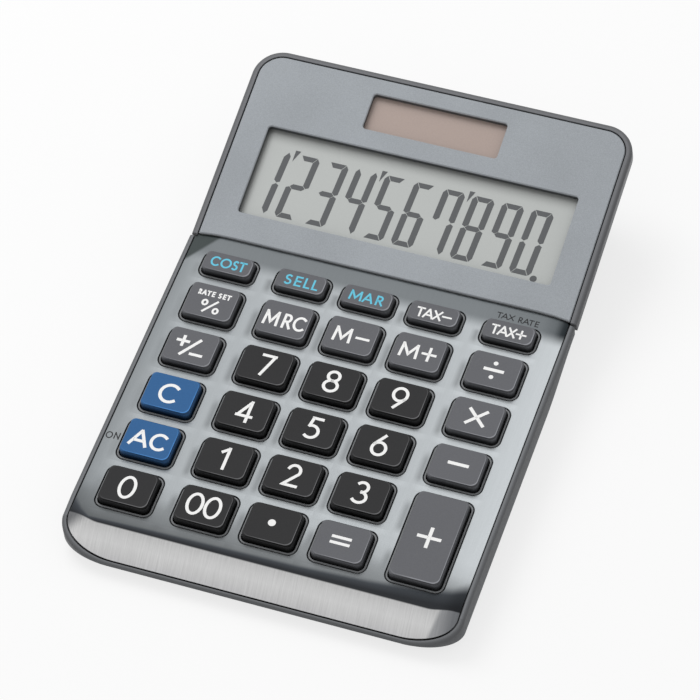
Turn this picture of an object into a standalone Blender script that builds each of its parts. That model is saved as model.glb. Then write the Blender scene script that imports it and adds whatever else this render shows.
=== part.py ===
"""Desktop calculator with a raised display head, a bent metal faceplate and twenty-nine sprung keys.

Metres, +Z up, +Y to the back, +X to the right of the person who types on it. The calculator stands on
the plane Z = 0 on four rubber feet, and its box is centred on the origin. Three slanted planes carry
the design: the keyboard plane, the front band that the faceplate bends down to, and the display head.
"""

from math import cos, pi, radians, sin, tan

import bmesh
import bpy
from mathutils import Matrix, Vector

# Clearances and mesh fineness
FIT_GAP = 0.0003
CUT_OVERRUN = 0.002
MERGE_DISTANCE = 0.000001
FLAT_ANGLE = radians(1.0)
NONPLANAR_ANGLE = radians(0.001)
STEEP_ANGLE = radians(80.0)
SHALLOW_ANGLE = radians(60.0)
END_ANGLE = radians(3.0)
ROUND_PROFILE = 0.5
CORNER_STEPS = 3
WIDE_CORNER_STEPS = 7
BEND_STEPS = 3
SEAM_STEPS = 6
ROUND_STEPS = 20
SMALL_ROUND_STEPS = 10

# Planes of the design
DECK_TILT = radians(3.0)
HEAD_TILT = radians(13.8)
BAND_DROP = radians(39.0)
CREASE_HEIGHT = 0.0102
BEND_RADIUS = 0.0025
HEAD_LIP = 0.0009
REAR_STRIP = 0.00496

# Plan of the keyboard half
PLATE_SIDE_ROOM = 0.00501
SIDE_BORDER = 0.00126
BAND_LENGTH = 0.0086
FRONT_BORDER = 0.0008
CORNER_WIDTH = 0.0135
BORDER_ROUNDING = 0.0009
CASE_WALL = 0.0018
FRONT_WALL_DROP = 0.00078
SEAM_DEPTH = 0.0034
SEAM_RISE_LENGTH = 0.024
TONGUE_LENGTH = 0.0022
TONGUE_SETBACK = 0.0015

# Layers under the keyboard plane
FACEPLATE_THICKNESS = 0.0005
DECK_THICKNESS = 0.0015
MAT_SHEET = 0.0007
BOARD_THICKNESS = 0.0012

# Display head
HEAD_SET_IN = 0.00005
HEAD_OFFSET = 0.0004
HEAD_REAR_STRIP = 0.00475
HEAD_BORDER = 0.0016
HEAD_CORNER = 0.0064
HEAD_DEPTH = 0.0037
HEAD_EDGE = 0.0010
PANEL_THICKNESS = 0.0016
LIP_SWEEP = 0.0010
LIP_SWEEP_WIDTH = 0.010
LCD_SIDE_STRIP = 0.00775
LCD_WINDOW_HEIGHT = 0.02615
LCD_WINDOW_START = 0.00777
SOLAR_SIDE_STRIP = 0.0317
SOLAR_WINDOW_HEIGHT = 0.0106
WINDOW_GAP = 0.00533
WINDOW_CORNER = 0.0009
GLASS_MARGIN = 0.0021
SOLAR_MARGIN = 0.0016

# Keys
KEY_WIDTH = 0.0154
KEY_DEPTH = 0.0127
LOW_KEY_DEPTH = 0.0083
KEY_CORNER = 0.00245
ROW_GAP = 0.00206
FRONT_ROW_SETBACK = 0.00442
INNER_COLUMN_GAP = 0.00245
OUTER_COLUMN_GAP = 0.00448
KEYPAD_OFFSET = -0.0005
COLLAR_WALL = 0.00045
KEY_HEIGHT = 0.0025
KEY_CHAMFER = 0.0003
KEY_SIDE_DRAFT = 0.0002
KEY_END_DRAFT = 0.00045
KEY_FLANGE = 0.0005
KEY_FLANGE_THICKNESS = 0.0008
KEY_TRAVEL = 0.0012
DOME_TOP_RADIUS = 0.0021
DOME_BASE_RADIUS = 0.0036

# Bottom case and feet
BASE_HEIGHT = 0.0010
FLOOR_THICKNESS = 0.0016
BOTTOM_INSET = 0.0014
UNDERCUT = radians(18.0)
REAR_SLOPE = radians(12.0)
BOTTOM_CORNER = 0.0085
SIDE_STATIONS = 9
FOOT_RADIUS = 0.0040
FOOT_RECESS = 0.0005
FOOT_ROUNDING = 0.0003
FRONT_FOOT_SIDE_ROOM = 0.0120
FRONT_FOOT_SETBACK = 0.0120
REAR_FOOT_SIDE_ROOM = 0.0175
REAR_FOOT_SETBACK = 0.0062
RIB_SIDE_ROOM = 0.0135
RIB_THICKNESS = 0.0014

# Screws and their bosses
SCREW_SHANK_RADIUS = 0.0011
SCREW_SHANK_LENGTH = 0.0055
SCREW_TIP = 0.0010
SCREW_HEAD_RADIUS = 0.0022
SCREW_HEAD_HEIGHT = 0.0010
BOSS_RADIUS = 0.0019
POST_RADIUS = 0.0036
POST_SEAT = 0.0010
HEAD_BOSS_RADIUS = 0.0026
HEAD_POST_HEIGHT = 0.0130
HEAD_SCREW_ROOM = 0.00565

# Board, ribbon, chip and solar leads
BOARD_SIDE_ROOM = 0.0068
BOARD_FRONT = 0.0025
BOARD_REAR_REACH = 0.0065
MAT_SET_IN = 0.0004
MAT_FRONT = 0.0045
MAT_REAR_MARGIN = 0.0020
HOLDER_THICKNESS = 0.0012
HOLDER_SIDE_ROOM = 0.0048
HOLDER_NECK_SET_IN = 0.00335
RIBBON_WIDTH = 0.0400
RIBBON_OFFSET = 0.0040
RIBBON_THICKNESS = 0.0002
RIBBON_LAP = 0.0024
RIBBON_BEND = 0.0006
CHIP_RADIUS = 0.0055
CHIP_HEIGHT = 0.0014
CHIP_X = -0.0080
CHIP_ALONG = 0.0680
CHIP_SLOPE_SHARES = (1.0, 0.7, 0.4, 0.0)
LEAD_RADIUS = 0.0005
LEAD_DROP = 0.0045
LEAD_SAG = 0.0120

# Battery and its compartment
CELL_RADIUS = 0.0058
CELL_HEIGHT = 0.0054
CELL_EDGE = 0.0004
CELL_CAP_RADIUS = 0.0045
CELL_SIDE_ROOM = 0.0210
CELL_SETBACK = 0.0105
WELL_WALL = 0.0014
WELL_SIDE_ROOM = 0.0012
COVER_MARGIN = 0.0028
COVER_THICKNESS = 0.0012
COVER_TAIL = 0.0060
CONTACT_THICKNESS = 0.0003
CONTACT_WIDTH = 0.0034
CONTACT_LAP = 0.0025
CONTACT_DROP = 0.0036
COVER_SCREW_INSET = 0.0045
COVER_BOSS_RADIUS = 0.0031

# Keys by place, from the left: the front row comes first and the low row last
KEY_ROWS = (
    (("key_0", "black_key"), ("key_00", "black_key"), ("key_point", "black_key"),
     ("key_equals", "grey_key"), None),
    (("key_ac", "blue_key"), ("key_1", "black_key"), ("key_2", "black_key"),
     ("key_3", "black_key"), None),
    (("key_c", "blue_key"), ("key_4", "black_key"), ("key_5", "black_key"),
     ("key_6", "black_key"), ("key_minus", "grey_key")),
    (("key_sign", "grey_key"), ("key_7", "black_key"), ("key_8", "black_key"),
     ("key_9", "black_key"), ("key_times", "grey_key")),
    (("key_percent", "grey_key"), ("key_mrc", "grey_key"), ("key_memory_minus", "grey_key"),
     ("key_memory_plus", "grey_key"), ("key_divide", "grey_key")),
    (("key_cost", "grey_key"), ("key_sell", "grey_key"), ("key_margin", "grey_key"),
     ("key_tax_minus", "grey_key"), ("key_tax_plus", "grey_key")),
)

# Derived places of the keys and the sizes that follow from them
ROW_PITCH = KEY_DEPTH + ROW_GAP
INNER_COLUMN = KEY_WIDTH + INNER_COLUMN_GAP
OUTER_COLUMN = INNER_COLUMN + KEY_WIDTH + OUTER_COLUMN_GAP
DECK_LENGTH = FRONT_ROW_SETBACK + (len(KEY_ROWS) - 1) * ROW_PITCH + LOW_KEY_DEPTH + REAR_STRIP
FACEPLATE_WIDTH = 2 * (OUTER_COLUMN + KEY_WIDTH / 2 + PLATE_SIDE_ROOM)
CASE_WIDTH = FACEPLATE_WIDTH + 2 * (SIDE_BORDER + FIT_GAP)
HEAD_WIDTH = CASE_WIDTH - 2 * HEAD_SET_IN
PANEL_WIDTH = HEAD_WIDTH - 2 * (HEAD_BORDER + FIT_GAP)
LCD_WINDOW_WIDTH = PANEL_WIDTH - 2 * LCD_SIDE_STRIP
SOLAR_WINDOW_WIDTH = PANEL_WIDTH - 2 * SOLAR_SIDE_STRIP
SOLAR_WINDOW_START = LCD_WINDOW_START + LCD_WINDOW_HEIGHT + WINDOW_GAP
HEAD_LENGTH = SOLAR_WINDOW_START + SOLAR_WINDOW_HEIGHT + HEAD_REAR_STRIP
BOARD_WIDTH = CASE_WIDTH - 2 * BOARD_SIDE_ROOM
BOARD_REAR = DECK_LENGTH + BOARD_REAR_REACH
MAT_WIDTH = BOARD_WIDTH - 2 * MAT_SET_IN
HOLDER_WIDTH = CASE_WIDTH - 2 * HOLDER_SIDE_ROOM
HOLDER_NECK_WIDTH = SOLAR_WINDOW_WIDTH - 2 * HOLDER_NECK_SET_IN
HEAD_SCREW_X = SOLAR_WINDOW_WIDTH / 2 + HEAD_SCREW_ROOM
HEAD_SCREW_ALONG = SOLAR_WINDOW_START + SOLAR_WINDOW_HEIGHT / 2
RIB_WIDTH = CASE_WIDTH - 2 * RIB_SIDE_ROOM
CELL_X = CASE_WIDTH / 2 - CELL_SIDE_ROOM
FRONT_FOOT_X = CASE_WIDTH / 2 - FRONT_FOOT_SIDE_ROOM
REAR_FOOT_X = CASE_WIDTH / 2 - REAR_FOOT_SIDE_ROOM
COLUMN_OFFSETS = (-OUTER_COLUMN, -INNER_COLUMN, 0, INNER_COLUMN, OUTER_COLUMN)
COLUMN_CENTRES = tuple(KEYPAD_OFFSET + offset for offset in COLUMN_OFFSETS)

# Derived levels, measured along the keyboard plane's normal
DECK_TOP = -(FACEPLATE_THICKNESS + FIT_GAP)
DECK_BOTTOM = DECK_TOP - DECK_THICKNESS
FLANGE_TOP = DECK_BOTTOM - FIT_GAP
FLANGE_BOTTOM = FLANGE_TOP - KEY_FLANGE_THICKNESS
DOME_TOP = FLANGE_BOTTOM - FIT_GAP
MAT_TOP = DOME_TOP - KEY_TRAVEL
MAT_BOTTOM = MAT_TOP - MAT_SHEET
BOARD_TOP = MAT_BOTTOM - FIT_GAP
BOARD_BOTTOM = BOARD_TOP - BOARD_THICKNESS

# Derived levels and sizes of the head, measured along its own normal
TRAY_FLOOR = -(PANEL_THICKNESS + FIT_GAP)
GLASS_BOTTOM = -HEAD_DEPTH
HOLDER_TOP = GLASS_BOTTOM - FIT_GAP
HOLDER_BOTTOM = HOLDER_TOP - HOLDER_THICKNESS

# Derived plan sizes
BAND_REACH = (BAND_LENGTH + FRONT_BORDER) * cos(BAND_DROP)
CASE_DEPTH = (BAND_LENGTH + FRONT_BORDER) * sin(BAND_DROP) + FRONT_WALL_DROP
TONGUE_HALF = CASE_WIDTH / 2 - SIDE_BORDER - TONGUE_SETBACK
SEAM_ALONG = DECK_LENGTH - LIP_SWEEP - FIT_GAP
FLOOR_TOP = BASE_HEIGHT + FLOOR_THICKNESS
COVER_SEAT = BASE_HEIGHT + SCREW_HEAD_HEIGHT + 2 * FIT_GAP
SCREW_COLUMN = (INNER_COLUMN + OUTER_COLUMN) / 2
ROWS_DEPTH = (len(KEY_ROWS) - 2) * ROW_PITCH + KEY_DEPTH
FRONT_SCREW_ALONG = FRONT_ROW_SETBACK + (ROW_PITCH + KEY_DEPTH) / 2
REAR_SCREW_ALONG = FRONT_ROW_SETBACK + ROWS_DEPTH + (ROW_PITCH - KEY_DEPTH) / 2
LOW_ROW_ALONG = DECK_LENGTH - REAR_STRIP - LOW_KEY_DEPTH / 2
RIB_ALONG_SHARES = (0.12, 0.47, 0.86)

# Frames: the keyboard plane starts at the crease, the head's plane at its own lower edge
DECK_FRAME = Matrix.Translation((0, 0, CREASE_HEIGHT)) @ Matrix.Rotation(DECK_TILT, 4, "X")
HEAD_ORIGIN = DECK_FRAME @ Vector((HEAD_OFFSET, DECK_LENGTH, HEAD_LIP))
HEAD_FRAME = Matrix.Translation(HEAD_ORIGIN) @ Matrix.Rotation(HEAD_TILT, 4, "X")
SIDE_FRAME = Matrix(((0, 0, 1, 0), (1, 0, 0, 0), (0, 1, 0, 0), (0, 0, 0, 1)))
LEVEL_FRAME = Matrix.Identity(4)

# Colour, roughness and metallic value of each material
FINISHES = {
    "case_plastic": ((0.135, 0.138, 0.142), 0.45, 0.0),
    "bottom_plastic": ((0.045, 0.046, 0.048), 0.55, 0.0),
    "head_plastic": ((0.115, 0.118, 0.122), 0.42, 0.0),
    "panel_plastic": ((0.38, 0.40, 0.42), 0.40, 0.2),
    "brushed_metal": ((0.56, 0.59, 0.61), 0.32, 1.0),
    "black_key": ((0.035, 0.035, 0.037), 0.45, 0.0),
    "grey_key": ((0.110, 0.112, 0.116), 0.42, 0.0),
    "blue_key": ((0.045, 0.130, 0.345), 0.38, 0.0),
    "lcd_glass": ((0.52, 0.54, 0.51), 0.12, 0.0),
    "solar_glass": ((0.42, 0.34, 0.30), 0.15, 0.0),
    "holder_plastic": ((0.60, 0.60, 0.58), 0.55, 0.0),
    "board_laminate": ((0.030, 0.130, 0.050), 0.45, 0.0),
    "mat_rubber": ((0.300, 0.300, 0.290), 0.75, 0.0),
    "ribbon_film": ((0.520, 0.440, 0.280), 0.35, 0.0),
    "chip_resin": ((0.012, 0.012, 0.012), 0.40, 0.0),
    "cell_steel": ((0.600, 0.600, 0.590), 0.25, 1.0),
    "contact_steel": ((0.620, 0.600, 0.560), 0.30, 1.0),
    "screw_steel": ((0.450, 0.450, 0.460), 0.35, 1.0),
    "foot_rubber": ((0.030, 0.030, 0.030), 0.85, 0.0),
    "red_lead": ((0.550, 0.030, 0.025), 0.45, 0.0),
    "black_lead": ((0.020, 0.020, 0.020), 0.45, 0.0),
}


def clear_scene():
    """Empty the file of objects, meshes, curves and materials."""
    for item in list(bpy.data.objects):
        bpy.data.objects.remove(item, do_unlink=True)
    for store in (bpy.data.meshes, bpy.data.curves, bpy.data.materials, bpy.data.collections):
        for item in list(store):
            store.remove(item)


def make_collection(name):
    """A new collection under the scene's own."""
    collection = bpy.data.collections.new(name)
    bpy.context.scene.collection.children.link(collection)
    return collection


def make_material(name):
    """A Principled material from the table of finishes."""
    colour, roughness, metallic = FINISHES[name]
    material = bpy.data.materials.new(name)
    material.use_nodes = True
    shader = material.node_tree.nodes["Principled BSDF"]
    shader.inputs["Base Color"].default_value = (*colour, 1.0)
    shader.inputs["Roughness"].default_value = roughness
    shader.inputs["Metallic"].default_value = metallic
    material.diffuse_color = (*colour, 1.0)
    return material


def finish(item, finish_name):
    """Give a piece its material."""
    if finish_name not in bpy.data.materials:
        make_material(finish_name)
    item.data.materials.clear()
    item.data.materials.append(bpy.data.materials[finish_name])
    return item


def as_part(item):
    """Move an object from the cutters to the calculator's own collection."""
    for collection in list(item.users_collection):
        collection.objects.unlink(item)
    parts.objects.link(item)
    item.hide_render = False
    item.display_type = "TEXTURED"
    return item


def link_cutter(item):
    """Put a new object among the cutters, on the assembly's empty, drawn as wire and not rendered."""
    cutters.objects.link(item)
    item.parent = assembly
    item.hide_render = True
    item.display_type = "WIRE"
    return item


def realise(item):
    """Replace an object's mesh by its evaluated one and drop its modifiers."""
    bpy.context.view_layer.update()
    evaluated = item.evaluated_get(bpy.context.evaluated_depsgraph_get())
    mesh = bpy.data.meshes.new_from_object(evaluated)
    item.modifiers.clear()
    item.data = mesh
    return item


def from_bmesh(name, shape, frame):
    """A cutter object with the given bmesh, placed by a frame."""
    mesh = bpy.data.meshes.new(name)
    shape.to_mesh(mesh)
    shape.free()
    item = bpy.data.objects.new(name, mesh)
    item.matrix_world = frame
    return link_cutter(item)


def slab(name, outlines, low, high, frame):
    """A flat solid between two levels of a frame; outlines inside the first one are holes."""
    curve = bpy.data.curves.new(name, "CURVE")
    curve.dimensions = "2D"
    curve.fill_mode = "BOTH"
    curve.extrude = (high - low) / 2
    for outline in outlines:
        spline = curve.splines.new("POLY")
        spline.points.add(len(outline) - 1)
        for point, (x, y) in zip(spline.points, outline):
            point.co = (x, y, 0, 1)
        spline.use_cyclic_u = True
    flat = bpy.data.objects.new(name, curve)
    cutters.objects.link(flat)
    flat.matrix_world = frame @ Matrix.Translation((0, 0, (low + high) / 2))
    return mesh_from_curve(flat)


def mesh_from_curve(flat):
    """Turn a curve object into a mesh object in its place, with its caps welded."""
    bpy.context.view_layer.update()
    evaluated = flat.evaluated_get(bpy.context.evaluated_depsgraph_get())
    mesh = bpy.data.meshes.new_from_object(evaluated)
    shape = bmesh.new()
    shape.from_mesh(mesh)
    bmesh.ops.remove_doubles(shape, verts=shape.verts, dist=MERGE_DISTANCE)
    bmesh.ops.recalc_face_normals(shape, faces=shape.faces)
    shape.to_mesh(mesh)
    shape.free()
    name = flat.name
    placed = flat.matrix_world.copy()
    bpy.data.curves.remove(flat.data)
    item = bpy.data.objects.new(name, mesh)
    item.matrix_world = placed
    return link_cutter(item)


def side_prism(name, outline, half_width, offset=0):
    """A solid with a side-view outline of (y, z) points, carried across in x."""
    return slab(name, [outline], offset - half_width, offset + half_width, SIDE_FRAME)


def cylinder(name, radius, low, high, x, y, steps=ROUND_STEPS, top_radius=None):
    """An upright cylinder or cone between two heights."""
    shape = bmesh.new()
    upper = radius if top_radius is None else top_radius
    bmesh.ops.create_cone(shape, cap_ends=True, segments=steps, radius1=radius, radius2=upper,
                          depth=high - low)
    return from_bmesh(name, shape, Matrix.Translation((x, y, (low + high) / 2)))


def block(name, low, high, frame=LEVEL_FRAME):
    """A box between two corners of a frame."""
    shape = bmesh.new()
    bmesh.ops.create_cube(shape, size=1)
    size = Vector(high) - Vector(low)
    bmesh.ops.scale(shape, vec=size, verts=shape.verts)
    bmesh.ops.translate(shape, vec=(Vector(high) + Vector(low)) / 2, verts=shape.verts)
    return from_bmesh(name, shape, frame)


def turned(name, profile, frame, steps=ROUND_STEPS):
    """A solid of revolution from (radius, height) points, given from top to bottom."""
    mesh = bpy.data.meshes.new(name)
    points = [(radius, 0, height) for radius, height in profile]
    mesh.from_pydata(points, [(i, i + 1) for i in range(len(points) - 1)], [])
    item = bpy.data.objects.new(name, mesh)
    item.matrix_world = frame
    screw = item.modifiers.new("turn", "SCREW")
    screw.axis = "Z"
    screw.steps = steps
    screw.render_steps = steps
    screw.use_merge_vertices = True
    screw.merge_threshold = MERGE_DISTANCE
    screw.use_smooth_shade = True
    return link_cutter(item)


def loft(name, rings, frame=LEVEL_FRAME):
    """A closed solid through rings of equal point counts, given from bottom to top.

    Sides that aren't flat are split, so that later cuts stay sound.
    """
    shape = bmesh.new()
    levels = [[shape.verts.new(point) for point in ring] for ring in rings]
    count = len(rings[0])
    shape.faces.new(list(reversed(levels[0])))
    shape.faces.new(levels[-1])
    for lower, upper in zip(levels, levels[1:]):
        for i in range(count):
            j = (i + 1) % count
            shape.faces.new((lower[i], lower[j], upper[j], upper[i]))
    bmesh.ops.connect_verts_nonplanar(shape, angle_limit=NONPLANAR_ANGLE, faces=shape.faces)
    return from_bmesh(name, shape, frame)


def combine(item, tool, operation):
    """Cut, join or intersect a piece with a tool object."""
    modifier = item.modifiers.new(tool.name, "BOOLEAN")
    modifier.operation = operation
    modifier.solver = "EXACT"
    modifier.object = tool
    return item


def rounded_rectangle(width, depth, radius, x=0, y=0, steps=CORNER_STEPS):
    """Points of a rectangle with round corners, anticlockwise, about a centre."""
    points = []
    for quarter, (side, end) in enumerate(((1, 1), (-1, 1), (-1, -1), (1, -1))):
        for step in range(steps):
            angle = (quarter + step / (steps - 1)) * pi / 2
            points.append((x + side * (width / 2 - radius) + radius * cos(angle),
                           y + end * (depth / 2 - radius) + radius * sin(angle)))
    return points


def grown(width, depth, radius, margin, x, y, steps=CORNER_STEPS):
    """A round-cornered rectangle moved outwards by a margin."""
    return rounded_rectangle(width + 2 * margin, depth + 2 * margin, radius + margin, x, y, steps)


def deck_point(along, above):
    """Side-view (y, z) of a place on the keyboard plane's axes."""
    point = DECK_FRAME @ Vector((0, along, above))
    return point.y, point.z


def head_point(along, above):
    """Side-view (y, z) of a place on the head plane's axes."""
    point = HEAD_FRAME @ Vector((0, along, above))
    return point.y, point.z


def bent_line(above, rear, band_end):
    """Side-view points at one level over the deck, round the crease and down the band, rear first."""
    tangent = BEND_RADIUS * tan(BAND_DROP / 2)
    points = [deck_point(rear, above)]
    for step in range(BEND_STEPS + 1):
        angle = BAND_DROP * step / BEND_STEPS
        radius = BEND_RADIUS + above
        points.append(deck_point(tangent - radius * sin(angle), radius * cos(angle) - BEND_RADIUS))
    points.append(deck_point(-band_end * cos(BAND_DROP) - above * sin(BAND_DROP),
                             above * cos(BAND_DROP) - band_end * sin(BAND_DROP)))
    return points


def deck_outline(half_width, band_length, side_rear, tongue_rear, tongue_half):
    """Plan of the keyboard half: straight sides, long elliptical front corners, a tongue at the back."""
    reach = band_length * cos(BAND_DROP)
    start = half_width - CORNER_WIDTH
    points = [(tongue_half, tongue_rear), (-tongue_half, tongue_rear), (-tongue_half, side_rear)]
    points.append((-half_width, side_rear))
    for side, first in ((-1, 0), (1, 1)):
        for step in range(WIDE_CORNER_STEPS):
            share = abs(first - step / (WIDE_CORNER_STEPS - 1))
            angle = share * pi / 2
            points.append((side * (start + CORNER_WIDTH * cos(angle)), -reach * sin(angle)))
    points += [(half_width, side_rear), (tongue_half, side_rear)]
    return points


def head_outline(half_width, length, corner, front, sweep):
    """Plan of the head: round rear corners and a lower edge that sweeps forward at both ends."""
    points = [(half_width, front - sweep)]
    for side, first in ((1, 0), (-1, 1)):
        for step in range(WIDE_CORNER_STEPS):
            angle = abs(first - step / (WIDE_CORNER_STEPS - 1)) * pi / 2
            points.append((side * (half_width - corner + corner * cos(angle)),
                           length - corner + corner * sin(angle)))
    points.append((-half_width, front - sweep))
    for side, first in ((-1, 0), (1, 1)):
        for step in range(1, CORNER_STEPS + 1):
            share = abs(first - step / (CORNER_STEPS + first))
            points.append((side * (half_width - LIP_SWEEP_WIDTH * share),
                           front - sweep * (1 - share) ** 2))
    return points


def key_places():
    """Name, finish, centre and hole depth of every key, on the keyboard plane."""
    places = []
    for row, names in enumerate(KEY_ROWS):
        low_row = row == len(KEY_ROWS) - 1
        depth = LOW_KEY_DEPTH if low_row else KEY_DEPTH
        along = LOW_ROW_ALONG if low_row else FRONT_ROW_SETBACK + row * ROW_PITCH + depth / 2
        for x, entry in zip(COLUMN_CENTRES, names):
            if entry:
                places.append((entry[0], entry[1], x, along, depth))
    tall = ROW_PITCH + KEY_DEPTH
    places.append(("key_plus", "grey_key", COLUMN_CENTRES[-1], FRONT_ROW_SETBACK + tall / 2, tall))
    return places


def key_outlines(margin):
    """The outlines of all key holes, moved outwards by a margin, which may be negative."""
    return [grown(KEY_WIDTH, depth, KEY_CORNER, margin, x, along)
            for _, _, x, along, depth in key_places()]


def screw_places():
    """The four places of the case screws on the keyboard plane, between the two outer columns of keys."""
    rows = (FRONT_SCREW_ALONG, REAR_SCREW_ALONG)
    return [(KEYPAD_OFFSET + side * SCREW_COLUMN, along) for along in rows for side in (-1, 1)]


def post_top(along):
    """Height of a screw post's top, just under the board at that place."""
    return deck_point(along, BOARD_BOTTOM)[1] - POST_RADIUS * sin(DECK_TILT) - FIT_GAP


def parting_line(drop):
    """Side-view points of the line where the upper shells end, moved down by a drop, front first."""
    points = [deck_point(-BAND_REACH - CASE_WALL, -CASE_DEPTH - drop)]
    start = SEAM_ALONG - SEAM_RISE_LENGTH
    for step in range(SEAM_STEPS + 1):
        share = step / SEAM_STEPS
        rise = share * share * (3 - 2 * share) * (CASE_DEPTH - SEAM_DEPTH)
        points.append(deck_point(start + SEAM_RISE_LENGTH * share, rise - CASE_DEPTH - drop))
    points.append(head_point(0, -HEAD_DEPTH - drop))
    points.append(head_point(HEAD_LENGTH + HEAD_BORDER + CASE_WALL, -HEAD_DEPTH - drop))
    return points


def parting_height(y):
    """Height of the parting line at a depth y, between its points."""
    line = parting_line(0)
    if y <= line[0][0]:
        return line[0][1]
    for (y0, z0), (y1, z1) in zip(line, line[1:]):
        if y <= y1:
            return z0 + (z1 - z0) * (y - y0) / (y1 - y0)
    return line[-1][1]


def front_edge():
    """Depth y of the upper case's front edge."""
    return deck_point(-BAND_REACH, -CASE_DEPTH)[0]


def rear_edge():
    """Side-view (y, z) of the head's rear lower edge."""
    return head_point(HEAD_LENGTH + HEAD_BORDER, -HEAD_DEPTH)


def bottom_ring(z, inset):
    """Plan of the bottom case at one height: it draws in under the parting line on every side."""
    rear_y, rear_z = rear_edge()
    front = front_edge() + BOTTOM_INSET + inset + (parting_height(front_edge()) - z) * tan(UNDERCUT)
    rear = rear_y - BOTTOM_INSET - inset - (rear_z - z) * tan(REAR_SLOPE)
    corner = BOTTOM_CORNER - inset
    straight = rear - front - 2 * corner
    stations = [front + corner + straight * i / SIDE_STATIONS for i in range(SIDE_STATIONS + 1)]
    right = []
    for step in range(WIDE_CORNER_STEPS - 1):
        angle = step / (WIDE_CORNER_STEPS - 1) * pi / 2
        right.append((corner * (1 - sin(angle)), front + corner * (1 - cos(angle))))
    right += [(0, y) for y in stations]
    for step in range(1, WIDE_CORNER_STEPS):
        angle = step / (WIDE_CORNER_STEPS - 1) * pi / 2
        right.append((corner * (1 - cos(angle)), rear - corner * (1 - sin(angle))))
    side = CASE_WIDTH / 2 - BOTTOM_INSET - inset
    half = [(side - (parting_height(y) - z) * tan(UNDERCUT) - back, y) for back, y in right]
    return [(x, y, z) for x, y in half] + [(-x, y, z) for x, y in reversed(half)]


def round_outer_edge(item, frame, width):
    """Round the upper outer edge of a block whose walls stand square to a frame."""
    realise(item)
    shape = bmesh.new()
    shape.from_mesh(item.data)
    bmesh.ops.remove_doubles(shape, verts=shape.verts, dist=MERGE_DISTANCE)
    bmesh.ops.dissolve_limit(shape, angle_limit=FLAT_ANGLE, verts=shape.verts, edges=shape.edges)
    up = (item.matrix_world.inverted() @ frame).to_3x3() @ Vector((0, 0, 1))
    back = (item.matrix_world.inverted() @ frame).to_3x3() @ Vector((0, 1, 0))
    edges = []
    for edge in shape.edges:
        if len(edge.link_faces) == 2:
            levels = sorted(face.normal @ up for face in edge.link_faces)
            wall = min(edge.link_faces, key=lambda face: face.normal @ up)
            facing = wall.normal @ back
            upright = abs(levels[0]) < cos(STEEP_ANGLE)
            if upright and levels[1] > cos(SHALLOW_ANGLE):
                if abs(facing) < cos(END_ANGLE) or facing * rounded_end(frame) > 0:
                    edges.append(edge)
    bmesh.ops.bevel(shape, geom=edges, offset=width, offset_type="OFFSET", segments=2,
                    profile=ROUND_PROFILE, affect="EDGES", clamp_overlap=False)
    shape.to_mesh(item.data)
    shape.free()
    return item


def rounded_end(frame):
    """The end of a shell that is rounded: the front of the keyboard half, the rear of the head."""
    return 1 if frame is HEAD_FRAME else -1


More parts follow.
